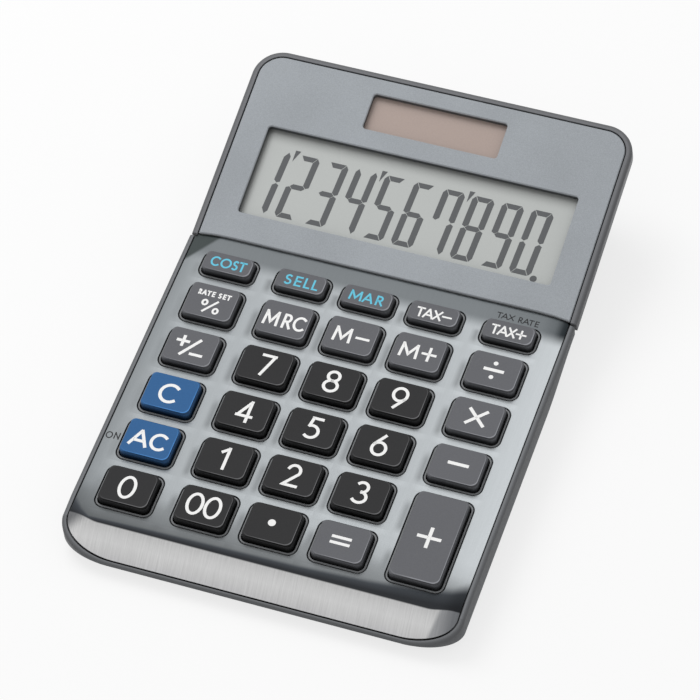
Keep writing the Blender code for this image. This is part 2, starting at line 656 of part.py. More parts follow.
def make_top_case():
    """Upper case: border, side walls and the deck with a collar round each key."""
    band_end = BAND_LENGTH + FRONT_BORDER
    half = CASE_WIDTH / 2
    profile = bent_line(0, DECK_LENGTH + TONGUE_LENGTH, band_end)
    lower = [point for point in parting_line(0) if point[0] < deck_point(SEAM_ALONG, -SEAM_DEPTH)[0]]
    profile += [deck_point(-BAND_REACH, -CASE_DEPTH)] + lower[1:]
    profile += [deck_point(SEAM_ALONG, -SEAM_DEPTH), deck_point(DECK_LENGTH + TONGUE_LENGTH, -SEAM_DEPTH)]
    case = side_prism("top_case", profile, half + CUT_OVERRUN)
    plan = deck_outline(half, band_end, SEAM_ALONG, DECK_LENGTH + TONGUE_LENGTH, TONGUE_HALF)
    reach = CASE_DEPTH + CUT_OVERRUN
    combine(case, slab("case_plan", [plan], -reach, CUT_OVERRUN, DECK_FRAME), "INTERSECT")
    round_outer_edge(case, DECK_FRAME, BORDER_ROUNDING)

    seat = bent_line(DECK_TOP, DECK_LENGTH + TONGUE_LENGTH + CUT_OVERRUN, BAND_LENGTH)
    lid = bent_line(CUT_OVERRUN, DECK_LENGTH + TONGUE_LENGTH + CUT_OVERRUN, BAND_LENGTH)
    pocket = side_prism("faceplate_pocket", seat + lid[::-1], half)
    rear = DECK_LENGTH + TONGUE_LENGTH + CUT_OVERRUN
    pocket_half = FACEPLATE_WIDTH / 2 + FIT_GAP
    pocket_plan = deck_outline(pocket_half, BAND_LENGTH, rear, rear + CUT_OVERRUN, TONGUE_HALF)
    combine(pocket, slab("pocket_plan", [pocket_plan], -reach, reach, DECK_FRAME), "INTERSECT")
    collars = slab("collars", key_outlines(-FIT_GAP), -reach, reach, DECK_FRAME)
    combine(pocket, collars, "DIFFERENCE")
    combine(case, realise(pocket), "DIFFERENCE")

    cavity_line = bent_line(DECK_BOTTOM, DECK_LENGTH + TONGUE_LENGTH + CUT_OVERRUN, BAND_LENGTH)
    floor = [deck_point(-BAND_REACH, -2 * CASE_DEPTH),
             deck_point(DECK_LENGTH + 2 * TONGUE_LENGTH, -2 * CASE_DEPTH)]
    cavity = side_prism("case_cavity", cavity_line + floor, half)
    inner_half = half - CASE_WALL
    cavity_rear = DECK_LENGTH + TONGUE_LENGTH + CUT_OVERRUN
    inner_plan = deck_outline(inner_half, band_end - CASE_WALL / cos(BAND_DROP), cavity_rear,
                              cavity_rear + CUT_OVERRUN, TONGUE_HALF)
    combine(cavity, slab("cavity_plan", [inner_plan], -2 * reach, reach, DECK_FRAME), "INTERSECT")
    combine(case, realise(cavity), "DIFFERENCE")

    for index, (x, along) in enumerate(screw_places()):
        y, deck_z = deck_point(along, (DECK_TOP + DECK_BOTTOM) / 2)
        low = post_top(along) + FIT_GAP
        combine(case, cylinder(f"case_boss_{index}", BOSS_RADIUS, low, deck_z, x, y), "UNION")
        hole_top = low - FIT_GAP - POST_SEAT + SCREW_SHANK_LENGTH + FIT_GAP
        radius = SCREW_SHANK_RADIUS + FIT_GAP
        pilot = cylinder(f"case_pilot_{index}", radius, low - CUT_OVERRUN, hole_top, x, y)
        combine(case, pilot, "DIFFERENCE")
    inside = key_outlines(-FIT_GAP - COLLAR_WALL)
    combine(case, slab("key_openings", inside, -CASE_DEPTH, CUT_OVERRUN, DECK_FRAME), "DIFFERENCE")
    return finish(as_part(case), "case_plastic")


def make_faceplate():
    """Brushed sheet over the deck, bent down at the front, with a hole round each collar."""
    rear = DECK_LENGTH + TONGUE_LENGTH - FIT_GAP
    band_end = BAND_LENGTH - FIT_GAP
    strip = bent_line(0, rear, band_end) + bent_line(-FACEPLATE_THICKNESS, rear, band_end)[::-1]
    plate = side_prism("keypad_faceplate", strip, CASE_WIDTH / 2)
    outline = deck_outline(FACEPLATE_WIDTH / 2, band_end, SEAM_ALONG, rear, TONGUE_HALF - FIT_GAP)
    combine(plate, slab("plate_plan", [outline], -2 * CASE_DEPTH, CASE_DEPTH, DECK_FRAME), "INTERSECT")
    combine(plate, slab("plate_holes", key_outlines(0), -CASE_DEPTH, CASE_DEPTH, DECK_FRAME), "DIFFERENCE")
    return finish(as_part(plate), "brushed_metal")


def deck_clearance(name):
    """The space over the faceplate's rear strip that the head must stay out of."""
    low = (-TONGUE_HALF - FIT_GAP, DECK_LENGTH - 2 * LIP_SWEEP - CUT_OVERRUN, -2 * HEAD_DEPTH)
    high = (TONGUE_HALF + FIT_GAP, DECK_LENGTH + TONGUE_LENGTH + FIT_GAP, FIT_GAP)
    return block(name, low, high, DECK_FRAME)


def display_openings(margin_lcd, margin_solar, corner):
    """Outlines of the two display openings, each moved outwards by its margin."""
    lcd = grown(LCD_WINDOW_WIDTH, LCD_WINDOW_HEIGHT, corner, margin_lcd, 0,
                LCD_WINDOW_START + LCD_WINDOW_HEIGHT / 2)
    solar = grown(SOLAR_WINDOW_WIDTH, SOLAR_WINDOW_HEIGHT, corner, margin_solar, 0,
                  SOLAR_WINDOW_START + SOLAR_WINDOW_HEIGHT / 2)
    return [lcd, solar]


def make_head_frame():
    """Head moulding: a shallow tray with a rounded border, two openings and two screw bosses."""
    half = HEAD_WIDTH / 2
    outer = head_outline(half, HEAD_LENGTH + HEAD_BORDER, HEAD_CORNER + HEAD_BORDER, -LIP_SWEEP, 0)
    tray = slab("head_frame", [outer], -HEAD_DEPTH, 0, HEAD_FRAME)
    round_outer_edge(tray, HEAD_FRAME, HEAD_EDGE)
    pocket_half = PANEL_WIDTH / 2 + FIT_GAP
    pocket = head_outline(pocket_half, HEAD_LENGTH, HEAD_CORNER, -2 * LIP_SWEEP - CUT_OVERRUN, 0)
    combine(tray, slab("panel_pocket", [pocket], TRAY_FLOOR, CUT_OVERRUN, HEAD_FRAME), "DIFFERENCE")
    openings = display_openings(GLASS_MARGIN + FIT_GAP, SOLAR_MARGIN + FIT_GAP, FIT_GAP)
    combine(tray, slab("tray_openings", openings, -2 * HEAD_DEPTH, CUT_OVERRUN, HEAD_FRAME), "DIFFERENCE")
    combine(tray, deck_clearance("tray_clearance"), "DIFFERENCE")
    y, top = head_point(HEAD_SCREW_ALONG, (TRAY_FLOOR - HEAD_DEPTH) / 2)
    low = BASE_HEIGHT + HEAD_POST_HEIGHT + FIT_GAP
    for side in (-1, 1):
        x = side * HEAD_SCREW_X
        combine(tray, cylinder(f"head_boss_{side}", HEAD_BOSS_RADIUS, low, top, x, y), "UNION")
        depth = SCREW_SHANK_LENGTH - POST_SEAT + FIT_GAP
        radius = SCREW_SHANK_RADIUS + FIT_GAP
        pilot = cylinder(f"head_pilot_{side}", radius, low - CUT_OVERRUN, low + depth, x, y)
        combine(tray, pilot, "DIFFERENCE")
    return finish(as_part(tray), "head_plastic")


def make_display_panel():
    """Light panel laid in the head's tray, with the two windows cut through it."""
    outline = head_outline(PANEL_WIDTH / 2, HEAD_LENGTH - FIT_GAP, HEAD_CORNER - FIT_GAP, 0, LIP_SWEEP)
    windows = display_openings(0, 0, WINDOW_CORNER)
    panel = slab("display_panel", [outline, *windows], -PANEL_THICKNESS, 0, HEAD_FRAME)
    combine(panel, deck_clearance("panel_clearance"), "DIFFERENCE")
    return finish(as_part(panel), "panel_plastic")


def make_display_glass():
    """The liquid crystal glass and the solar cell, each lying in its opening of the tray."""
    lcd, solar = display_openings(GLASS_MARGIN, SOLAR_MARGIN, 0)
    glass = slab("lcd_glass", [lcd], GLASS_BOTTOM, TRAY_FLOOR, HEAD_FRAME)
    cell = slab("solar_cell", [solar], GLASS_BOTTOM, TRAY_FLOOR, HEAD_FRAME)
    return finish(as_part(glass), "lcd_glass"), finish(as_part(cell), "solar_glass")


def make_display_holder():
    """Bracket under the tray that keeps the glass and the solar cell in their openings."""
    front = LCD_WINDOW_START
    shoulder = LCD_WINDOW_START + LCD_WINDOW_HEIGHT + GLASS_MARGIN + HEAD_BORDER
    rear = SOLAR_WINDOW_START + SOLAR_WINDOW_HEIGHT + SOLAR_MARGIN
    wide = HOLDER_WIDTH / 2
    neck = HOLDER_NECK_WIDTH / 2
    outline = [(wide, front + GLASS_MARGIN), (wide, shoulder), (neck, shoulder), (neck, rear), (-neck, rear),
               (-neck, shoulder), (-wide, shoulder), (-wide, front + GLASS_MARGIN)]
    holder = slab("display_holder", [outline], HOLDER_BOTTOM, HOLDER_TOP, HEAD_FRAME)
    return finish(as_part(holder), "holder_plastic")


def make_board():
    """Circuit board under the keypad, with a hole for each screw boss."""
    middle = (BOARD_REAR + BOARD_FRONT) / 2
    outline = rounded_rectangle(BOARD_WIDTH, BOARD_REAR - BOARD_FRONT, KEY_CORNER, 0, middle)
    board = slab("main_board", [outline], BOARD_BOTTOM, BOARD_TOP, DECK_FRAME)
    return cut_boss_holes(board, "board_laminate")


def cut_boss_holes(item, finish_name):
    """Holes through a layer of the keypad for the screw bosses."""
    for index, (x, along) in enumerate(screw_places()):
        y, z = deck_point(along, BOARD_TOP)
        radius = BOSS_RADIUS + FIT_GAP
        hole = cylinder(f"{item.name}_hole_{index}", radius, z - CASE_DEPTH, z + CASE_DEPTH, x, y)
        combine(item, hole, "DIFFERENCE")
    return finish(as_part(item), finish_name)


def make_mat():
    """Rubber sheet with a dome under each key."""
    rear = LOW_ROW_ALONG + LOW_KEY_DEPTH / 2 + MAT_REAR_MARGIN
    outline = rounded_rectangle(MAT_WIDTH, rear - MAT_FRONT, KEY_CORNER, 0, (rear + MAT_FRONT) / 2)
    mat = slab("keypad_mat", [outline], MAT_BOTTOM, MAT_TOP, DECK_FRAME)
    root = (MAT_BOTTOM + MAT_TOP) / 2
    for name, _, x, along, depth in key_places():
        dome = cylinder(f"dome_{name}", DOME_BASE_RADIUS, root, DOME_TOP, x, along,
                        SMALL_ROUND_STEPS, DOME_TOP_RADIUS)
        dome.matrix_world = DECK_FRAME @ dome.matrix_world
        combine(mat, dome, "UNION")
    return cut_boss_holes(mat, "mat_rubber")


def make_key(name, finish_name, x, along, depth):
    """One key: a flange that the deck holds down, a shank in the collar and a drafted cap."""
    shank = -(FIT_GAP + COLLAR_WALL + FIT_GAP)
    flange = shank + FIT_GAP + KEY_FLANGE
    levels = (
        (flange, flange, FLANGE_BOTTOM),
        (flange, flange, FLANGE_TOP),
        (shank, shank, FLANGE_TOP),
        (shank, shank, 0),
        (shank - KEY_SIDE_DRAFT, shank - KEY_END_DRAFT, KEY_HEIGHT - KEY_CHAMFER),
        (shank - KEY_SIDE_DRAFT - KEY_CHAMFER, shank - KEY_END_DRAFT - KEY_CHAMFER, KEY_HEIGHT),
    )
    rings = []
    for side, end, z in levels:
        ring = rounded_rectangle(KEY_WIDTH + 2 * side, depth + 2 * end, KEY_CORNER + side)
        rings.append([(px, py, z) for px, py in ring])
    key = loft(name, rings, DECK_FRAME @ Matrix.Translation((x, along, 0)))
    return finish(as_part(key), finish_name)


def make_bottom_case():
    """Bottom case: a tapered tub with screw posts, ribs under the board and the battery well."""
    ceiling = rear_edge()[1] + CUT_OVERRUN
    case = loft("bottom_case", [bottom_ring(BASE_HEIGHT, 0), bottom_ring(ceiling, 0)])
    rim = parting_line(FIT_GAP)
    rim = [(rim[0][0] - 2 * CASE_DEPTH, rim[0][1])] + rim + [(rim[-1][0], ceiling + CUT_OVERRUN)]
    lid = rim + [(rim[0][0], ceiling + CUT_OVERRUN)]
    combine(case, side_prism("above_rim", lid, CASE_WIDTH), "DIFFERENCE")
    inner = [bottom_ring(FLOOR_TOP, CASE_WALL), bottom_ring(ceiling + CUT_OVERRUN, CASE_WALL)]
    combine(case, loft("tub_cavity", inner), "DIFFERENCE")

    root = BASE_HEIGHT + FLOOR_THICKNESS / 2
    for index, share in enumerate(RIB_ALONG_SHARES):
        along = BOARD_FRONT + (BOARD_REAR - BOARD_FRONT) * share
        front, front_z = deck_point(along, BOARD_BOTTOM - FIT_GAP)
        back, back_z = deck_point(along + RIB_THICKNESS, BOARD_BOTTOM - FIT_GAP)
        rib = [(front, root), (back, root), (back, back_z), (front, front_z)]
        combine(case, side_prism(f"rib_{index}", rib, RIB_WIDTH / 2), "UNION")
    for index, (x, y, top) in enumerate(post_places()):
        combine(case, cylinder(f"post_{index}", POST_RADIUS, root, top, x, y), "UNION")
    well_low, well_high = well_box()
    combine(case, block("well", (well_low[0], well_low[1], root), well_high), "UNION")
    pad = slab("cover_pad", [cover_outline(WELL_WALL)], root, FLOOR_TOP + WELL_WALL, LEVEL_FRAME)
    combine(case, pad, "UNION")
    boss_radius = COVER_BOSS_RADIUS + FIT_GAP + WELL_WALL
    boss_top = COVER_SEAT + SCREW_SHANK_LENGTH + WELL_WALL
    combine(case, cylinder("cover_boss", boss_radius, root, boss_top, CELL_X, cover_screw_y()), "UNION")

    for index, (x, y, top) in enumerate(post_places()):
        seat = top - POST_SEAT
        bore_radius = SCREW_HEAD_RADIUS + FIT_GAP
        combine(case, cylinder(f"bore_{index}", bore_radius, -CUT_OVERRUN, seat, x, y), "DIFFERENCE")
        shank_radius = SCREW_SHANK_RADIUS + FIT_GAP
        through = cylinder(f"through_{index}", shank_radius, seat - CUT_OVERRUN / 2, top + CUT_OVERRUN, x, y)
        combine(case, through, "DIFFERENCE")
    for index, (x, y) in enumerate(foot_places()):
        recess_top = BASE_HEIGHT + FOOT_RECESS + FIT_GAP
        recess = cylinder(f"foot_recess_{index}", FOOT_RADIUS + FIT_GAP, -CUT_OVERRUN, recess_top, x, y)
        combine(case, recess, "DIFFERENCE")
    cut_battery_well(case)
    return finish(as_part(case), "bottom_plastic")


def post_places():
    """Place and top height of the six screw posts: four under the keys, two under the head."""
    places = [(x, deck_point(along, BOARD_BOTTOM)[0], post_top(along)) for x, along in screw_places()]
    y = head_point(HEAD_SCREW_ALONG, (TRAY_FLOOR - HEAD_DEPTH) / 2)[0]
    return places + [(side * HEAD_SCREW_X, y, BASE_HEIGHT + HEAD_POST_HEIGHT) for side in (-1, 1)]


def foot_places():
    """Centres of the four feet."""
    front = front_edge() + FRONT_FOOT_SETBACK
    rear_y, rear_z = rear_edge()
    rear = rear_y - BOTTOM_INSET - (rear_z - BASE_HEIGHT) * tan(REAR_SLOPE) - REAR_FOOT_SETBACK
    return [(-FRONT_FOOT_X, front), (FRONT_FOOT_X, front), (-REAR_FOOT_X, rear), (REAR_FOOT_X, rear)]


def cell_y():
    """Depth y of the button cell's centre, behind the board's rear edge."""
    return deck_point(BOARD_REAR, BOARD_TOP)[0] + CELL_SETBACK


def strip_height():
    """Height of the contact strips, which run level from the board's rear edge over the cell."""
    return deck_point(BOARD_REAR, BOARD_TOP)[1] + FIT_GAP


def well_box():
    """Outer corners of the battery well that stands on the floor."""
    reach = CELL_RADIUS + WELL_SIDE_ROOM + WELL_WALL
    top = strip_height() + CONTACT_THICKNESS + FIT_GAP + WELL_WALL
    low = (CELL_X - reach, cell_y() - CELL_RADIUS - WELL_WALL, FLOOR_TOP)
    return low, (CELL_X + reach, cell_y() + reach, top)


def cover_outline(margin):
    """Plan of the battery cover, with a tail for its screw behind the cell."""
    reach = CELL_RADIUS + COVER_MARGIN
    low = cell_y() - reach
    high = cell_y() + reach + COVER_TAIL
    return grown(2 * reach, high - low, KEY_CORNER, margin, CELL_X, (low + high) / 2)


def cover_screw_y():
    """Depth y of the battery cover's screw."""
    return cell_y() + CELL_RADIUS + COVER_MARGIN + COVER_TAIL - COVER_SCREW_INSET


def cut_battery_well(case):
    """The cover's recess, the cell's chamber with its open front, and the cover screw's hole."""
    recess_top = BASE_HEIGHT + COVER_THICKNESS + FIT_GAP
    recess = slab("cover_recess", [cover_outline(FIT_GAP)], -CUT_OVERRUN, recess_top, LEVEL_FRAME)
    combine(case, recess, "DIFFERENCE")
    low, high = well_box()
    chamber_low = (low[0] + WELL_WALL, low[1] - CUT_OVERRUN, recess_top - CUT_OVERRUN)
    chamber_high = (high[0] - WELL_WALL, high[1] - WELL_WALL, high[2] - WELL_WALL)
    combine(case, block("chamber", chamber_low, chamber_high), "DIFFERENCE")
    pocket_top = COVER_SEAT + POST_SEAT + FIT_GAP
    pocket = cylinder("boss_pocket", COVER_BOSS_RADIUS + FIT_GAP, 0, pocket_top, CELL_X, cover_screw_y())
    combine(case, pocket, "DIFFERENCE")
    pilot_top = COVER_SEAT + SCREW_SHANK_LENGTH
    pilot = cylinder("cover_pilot", SCREW_SHANK_RADIUS + FIT_GAP, 0, pilot_top, CELL_X, cover_screw_y())
    combine(case, pilot, "DIFFERENCE")


def make_battery():
    """Button cell, its two contact strips and the screwed cover underneath."""
    seat = BASE_HEIGHT + COVER_THICKNESS + 2 * FIT_GAP
    top = seat + CELL_HEIGHT
    profile = ((0, top), (CELL_CAP_RADIUS, top), (CELL_CAP_RADIUS, top - CELL_EDGE),
               (CELL_RADIUS - CELL_EDGE, top - CELL_EDGE), (CELL_RADIUS, top - 2 * CELL_EDGE),
               (CELL_RADIUS, seat + CELL_EDGE), (CELL_RADIUS - CELL_EDGE, seat), (0, seat))
    cell = turned("battery_cell", profile, Matrix.Translation((CELL_X, cell_y(), 0)))
    finish(as_part(cell), "cell_steel")

    level = strip_height()
    start = cell_y() - CELL_SETBACK - CONTACT_LAP
    finger = top + FIT_GAP
    path = [(start, level), (cell_y() - CELL_RADIUS, level),
            (cell_y() - CELL_CAP_RADIUS / 2, finger), (cell_y(), finger)]
    outline = strip(path, CONTACT_THICKNESS)
    negative = side_prism("battery_contact_negative", outline, CONTACT_WIDTH / 2, CELL_X - CONTACT_WIDTH)
    finish(as_part(negative), "contact_steel")
    leg = cell_y() - CELL_RADIUS - FIT_GAP - CONTACT_THICKNESS
    path = [(start, level), (leg - CONTACT_THICKNESS, level), (leg, level - CONTACT_THICKNESS),
            (leg, top - CONTACT_DROP)]
    outline = strip(path, CONTACT_THICKNESS)
    positive = side_prism("battery_contact_positive", outline, CONTACT_WIDTH / 2, CELL_X + CONTACT_WIDTH / 2)
    finish(as_part(positive), "contact_steel")

    cover = slab("battery_cover", [cover_outline(0)], BASE_HEIGHT, BASE_HEIGHT + COVER_THICKNESS, LEVEL_FRAME)
    root = BASE_HEIGHT + COVER_THICKNESS / 2
    boss_top = COVER_SEAT + POST_SEAT
    boss = cylinder("cover_screw_boss", COVER_BOSS_RADIUS, root, boss_top, CELL_X, cover_screw_y())
    combine(cover, boss, "UNION")
    bore = cylinder("cover_bore", SCREW_HEAD_RADIUS + FIT_GAP, 0, COVER_SEAT, CELL_X, cover_screw_y())
    combine(cover, bore, "DIFFERENCE")
    hole = cylinder("cover_hole", SCREW_SHANK_RADIUS + FIT_GAP, 0, 2 * FLOOR_TOP, CELL_X, cover_screw_y())
    combine(cover, hole, "DIFFERENCE")
    finish(as_part(cover), "bottom_plastic")


def strip(path, thickness):
    """Outline of a thin bent strip: a path in side view and the same path moved over by its thickness."""
    offset = []
    for i, (y, z) in enumerate(path):
        before = Vector(path[max(i - 1, 0)])
        after = Vector(path[min(i + 1, len(path) - 1)])
        forward = (after - before).normalized()
        offset.append((y - forward.y * thickness, z + forward.x * thickness))
    return list(path) + offset[::-1]


def make_screw(name, x, y, seat):
    """A pan-head screw driven upwards: its head hangs under the seat."""
    tip = seat + SCREW_SHANK_LENGTH - FIT_GAP
    under = seat - FIT_GAP
    bottom = under - SCREW_HEAD_HEIGHT
    profile = ((0, tip), (SCREW_SHANK_RADIUS, tip - SCREW_TIP), (SCREW_SHANK_RADIUS, under),
               (SCREW_HEAD_RADIUS, under), (SCREW_HEAD_RADIUS, under - SCREW_HEAD_HEIGHT / 2),
               (SCREW_HEAD_RADIUS / 2, bottom), (0, bottom))
    screw = turned(name, profile, Matrix.Translation((x, y, 0)), SMALL_ROUND_STEPS)
    return finish(as_part(screw), "screw_steel")


def make_screws():
    """Six case screws in their posts and the cover's own screw."""
    for index, (x, y, top) in enumerate(post_places(), 1):
        make_screw(f"case_screw_{index}", x, y, top - POST_SEAT)
    make_screw("battery_cover_screw", CELL_X, cover_screw_y(), COVER_SEAT)


def make_feet():
    """Four turned rubber feet, part sunk in the floor."""
    for index, (x, y) in enumerate(foot_places(), 1):
        top = BASE_HEIGHT + FOOT_RECESS
        profile = ((0, top), (FOOT_RADIUS, top), (FOOT_RADIUS, FOOT_ROUNDING),
                   (FOOT_RADIUS - FOOT_ROUNDING, 0), (0, 0))
        foot = turned(f"foot_{index}", profile, Matrix.Translation((x, y, 0)))
        finish(as_part(foot), "foot_rubber")


def make_ribbon():
    """Flat film from the glass's lower edge down to the board."""
    lap = LCD_WINDOW_START - GLASS_MARGIN
    under_glass = [head_point(lap + RIBBON_LAP, HOLDER_TOP), head_point(lap, HOLDER_TOP)]
    board_level = BOARD_TOP + FIT_GAP
    end = BOARD_REAR - RIBBON_LAP / 2 - RIBBON_BEND
    on_board = [deck_point(end, board_level + RIBBON_BEND), deck_point(end - RIBBON_BEND, board_level),
                deck_point(end - RIBBON_LAP, board_level)]
    path = [*under_glass, *on_board][::-1]
    ribbon = side_prism("lcd_ribbon", strip(path, RIBBON_THICKNESS), RIBBON_WIDTH / 2, -RIBBON_OFFSET)
    return finish(as_part(ribbon), "ribbon_film")


def make_chip():
    """Resin drop over the chip on the board's underside."""
    profile = [(0, 0)]
    for share in CHIP_SLOPE_SHARES:
        angle = share * pi / 2
        profile.append((CHIP_RADIUS * sin(angle), -CHIP_HEIGHT * cos(angle)))
    place = DECK_FRAME @ Matrix.Translation((CHIP_X, CHIP_ALONG, BOARD_BOTTOM - FIT_GAP))
    return finish(as_part(turned("chip_cover", profile, place)), "chip_resin")


def make_leads():
    """Two thin leads from the ends of the solar cell down to the board."""
    pad = SOLAR_WINDOW_START + SOLAR_WINDOW_HEIGHT / 2
    for name, side in (("solar_lead_red", -1), ("solar_lead_black", 1)):
        x = side * (SOLAR_WINDOW_WIDTH / 2 + SOLAR_MARGIN - DOME_TOP_RADIUS)
        y, z = head_point(pad, GLASS_BOTTOM - FIT_GAP - LEAD_RADIUS)
        end_y, end_z = deck_point(BOARD_REAR - RIBBON_LAP / 2, BOARD_TOP + FIT_GAP + LEAD_RADIUS)
        end_x = x if side > 0 else x - LEAD_SAG
        points = [(x, y, z), (x, y - LEAD_DROP / 2, z - LEAD_DROP),
                  (x, (y + end_y) / 2, z - LEAD_SAG / 2 - LEAD_DROP),
                  (end_x, end_y + LEAD_DROP, end_z + LEAD_DROP / 2), (end_x, end_y, end_z)]
        curve = bpy.data.curves.new(name, "CURVE")
        curve.dimensions = "3D"
        curve.bevel_depth = LEAD_RADIUS
        curve.bevel_resolution = 1
        curve.use_fill_caps = True
        spline = curve.splines.new("POLY")
        spline.points.add(len(points) - 1)
        for point, place in zip(spline.points, points):
            point.co = (*place, 1)
        item = bpy.data.objects.new(name, curve)
        cutters.objects.link(item)
        finish(as_part(mesh_from_curve(item)), "red_lead" if side < 0 else "black_lead")


def centre_box():
    """Move the assembly so that its box stands centred over the origin."""
    bpy.context.view_layer.update()
    ends = []
    for name in ("top_case", "head_frame"):
        item = bpy.data.objects[name].evaluated_get(bpy.context.evaluated_depsgraph_get())
        ends += [(item.matrix_world @ vertex.co).y for vertex in item.data.vertices]
    assembly.location.y = -(min(ends) + max(ends)) / 2


clear_scene()
parts = make_collection("desktop_calculator")
cutters = make_collection("cutters")
assembly = bpy.data.objects.new("calculator_base", None)
parts.objects.link(assembly)

make_bottom_case()
make_top_case()
make_faceplate()
make_head_frame()
make_display_panel()
make_display_glass()
make_display_holder()
make_board()
make_mat()
for place in key_places():
    make_key(*place)
make_ribbon()
make_chip()
make_battery()
make_screws()
make_feet()
make_leads()
centre_box()
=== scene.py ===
"""Desktop calculator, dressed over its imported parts.

Metres, +Z up, +Y to the back, +X to the right of the person who types on it. It is put together here in
the order of the workbench: the studio, the lower shell and what lies in it, the keyboard, then the head.
"""

from math import cos, pi, radians, sin, tan

import bmesh
import bpy
import numpy as np
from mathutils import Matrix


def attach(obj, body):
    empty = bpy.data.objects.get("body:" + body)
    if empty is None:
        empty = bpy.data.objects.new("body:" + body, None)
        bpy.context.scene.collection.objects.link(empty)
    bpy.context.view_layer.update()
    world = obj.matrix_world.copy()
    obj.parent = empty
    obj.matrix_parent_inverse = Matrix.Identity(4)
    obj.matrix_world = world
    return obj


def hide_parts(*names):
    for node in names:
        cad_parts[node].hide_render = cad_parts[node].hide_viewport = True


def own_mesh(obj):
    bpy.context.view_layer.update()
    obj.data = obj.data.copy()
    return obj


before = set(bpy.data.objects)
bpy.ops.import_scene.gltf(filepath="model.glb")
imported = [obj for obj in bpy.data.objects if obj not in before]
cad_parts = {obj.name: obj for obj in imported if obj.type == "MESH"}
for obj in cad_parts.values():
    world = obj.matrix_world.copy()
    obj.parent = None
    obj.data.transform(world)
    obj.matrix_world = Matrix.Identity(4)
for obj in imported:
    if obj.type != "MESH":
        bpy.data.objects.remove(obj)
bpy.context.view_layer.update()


# Studio. The calculator lies on a white table under an even white sky, with one broad soft lamp behind
# its left shoulder; the lens is long, so its edges run almost parallel in the picture.
PICTURE_WIDTH = 700
FOCAL_PIXELS = 3721.4
SENSOR_WIDTH = 36.0
CAMERA_REACH = 50.0
CAMERA_PLACE = (0.22067, -0.54766, 0.74500)
CAMERA_TURN = (radians(38.7291), radians(2.344), radians(19.1424))
TABLE_SIZE = 6.0
TABLE_WHITE = 0.93
TABLE_GLOW = 0.75
SKY_FOR_SURFACES = 0.58
LAMP_PLACE = (-0.55, 0.45, 0.95)
LAMP_SIZE = 0.7
LAMP_WATTS = 7.0
WHITE = (1.0, 1.0, 1.0, 1.0)


def stand(name, data):
    """An object at the origin, linked to the scene."""
    item = bpy.data.objects.new(name, data)
    bpy.context.scene.collection.objects.link(item)
    return item


def feed(tree, node, values):
    """Link or set a node's inputs: a value is a socket of another node, or a plain number or colour."""
    for place, value in dict(values).items():
        if isinstance(value, bpy.types.NodeSocket):
            tree.links.new(value, node.inputs[place])
        else:
            node.inputs[place].default_value = value
    return node


def put(tree, kind, values=(), **settings):
    """Add a node with its settings, and feed it."""
    node = tree.nodes.new(f"ShaderNode{kind}")
    for setting, value in settings.items():
        setattr(node, setting, value)
    return feed(tree, node, values)


def calc(tree, operation, *values):
    """The result of a math node."""
    return put(tree, "Math", enumerate(values), operation=operation).outputs[0]


def new_material(name, values):
    """A material, its node tree and its shader, fed with the values that are the same all over."""
    material = bpy.data.materials.new(name)
    material.use_nodes = True
    tree = material.node_tree
    return material, tree, feed(tree, tree.nodes["Principled BSDF"], values)


lens = bpy.data.cameras.new("studio_lens")
lens.sensor_width = SENSOR_WIDTH
lens.lens = FOCAL_PIXELS * lens.sensor_width / PICTURE_WIDTH
lens.clip_end = CAMERA_REACH
camera = stand("studio_camera", lens)
camera.location = CAMERA_PLACE
camera.rotation_euler = CAMERA_TURN
bpy.context.scene.camera = camera
bpy.context.scene.view_settings.view_transform = "Standard"

sky = bpy.data.worlds.new("white_sky")
sky.use_nodes = True
bpy.context.scene.world = sky
tree = sky.node_tree
tree.nodes.clear()
rays = put(tree, "LightPath").outputs
seen = calc(tree, "MAXIMUM", rays["Is Camera Ray"], rays["Is Glossy Ray"])
seen = calc(tree, "MAXIMUM", seen, rays["Is Transmission Ray"])
dim = put(tree, "Background", {"Color": WHITE, "Strength": SKY_FOR_SURFACES}).outputs[0]
bright = put(tree, "Background", {"Color": WHITE}).outputs[0]
chosen = put(tree, "MixShader", {0: seen, 1: dim, 2: bright}).outputs[0]
put(tree, "OutputWorld", {"Surface": chosen})

lamp = bpy.data.lights.new("soft_lamp", "AREA")
lamp.shape = "SQUARE"
lamp.size = LAMP_SIZE
lamp.energy = LAMP_WATTS
lamp_stand = stand("soft_lamp", lamp)
lamp_stand.location = LAMP_PLACE
lamp_stand.rotation_mode = "QUATERNION"
lamp_stand.rotation_quaternion = lamp_stand.location.to_track_quat("Z", "Y")
lamp_stand.visible_glossy = False

side = TABLE_SIZE / 2
corners = [(-side, -side, 0), (side, -side, 0), (side, side, 0), (-side, side, 0)]
table_mesh = bpy.data.meshes.new("table_top")
table_mesh.from_pydata(corners, [], [(0, 1, 2, 3)])
table = stand("table_top", table_mesh)
white, tree, matt = new_material("table_white", {
    "Base Color": (TABLE_WHITE, TABLE_WHITE, TABLE_WHITE, 1.0), "Roughness": 1.0, "Specular IOR Level": 0.0})
glow = put(tree, "Emission", {"Color": WHITE}).outputs[0]
seen = calc(tree, "MULTIPLY", put(tree, "LightPath").outputs["Is Camera Ray"], TABLE_GLOW)
chosen = put(tree, "MixShader", {0: seen, 1: matt.outputs[0], 2: glow}).outputs[0]
feed(tree, tree.nodes["Material Output"], {"Surface": chosen})
table_mesh.materials.append(white)


# Lower shell. A dark grey moulded tub with drawn-in walls, screw wells and the battery door in its floor;
# ABS with a fine spark-eroded grain, screwed up into the two upper mouldings from below.
GRAIN_SCALE = 2600.0
DRIFT_SCALE = 38.0
FINE_SHARE = 0.65
GLOSS_DRIFT = 0.04
WELD = 0.0000001
CRISP = 32.0


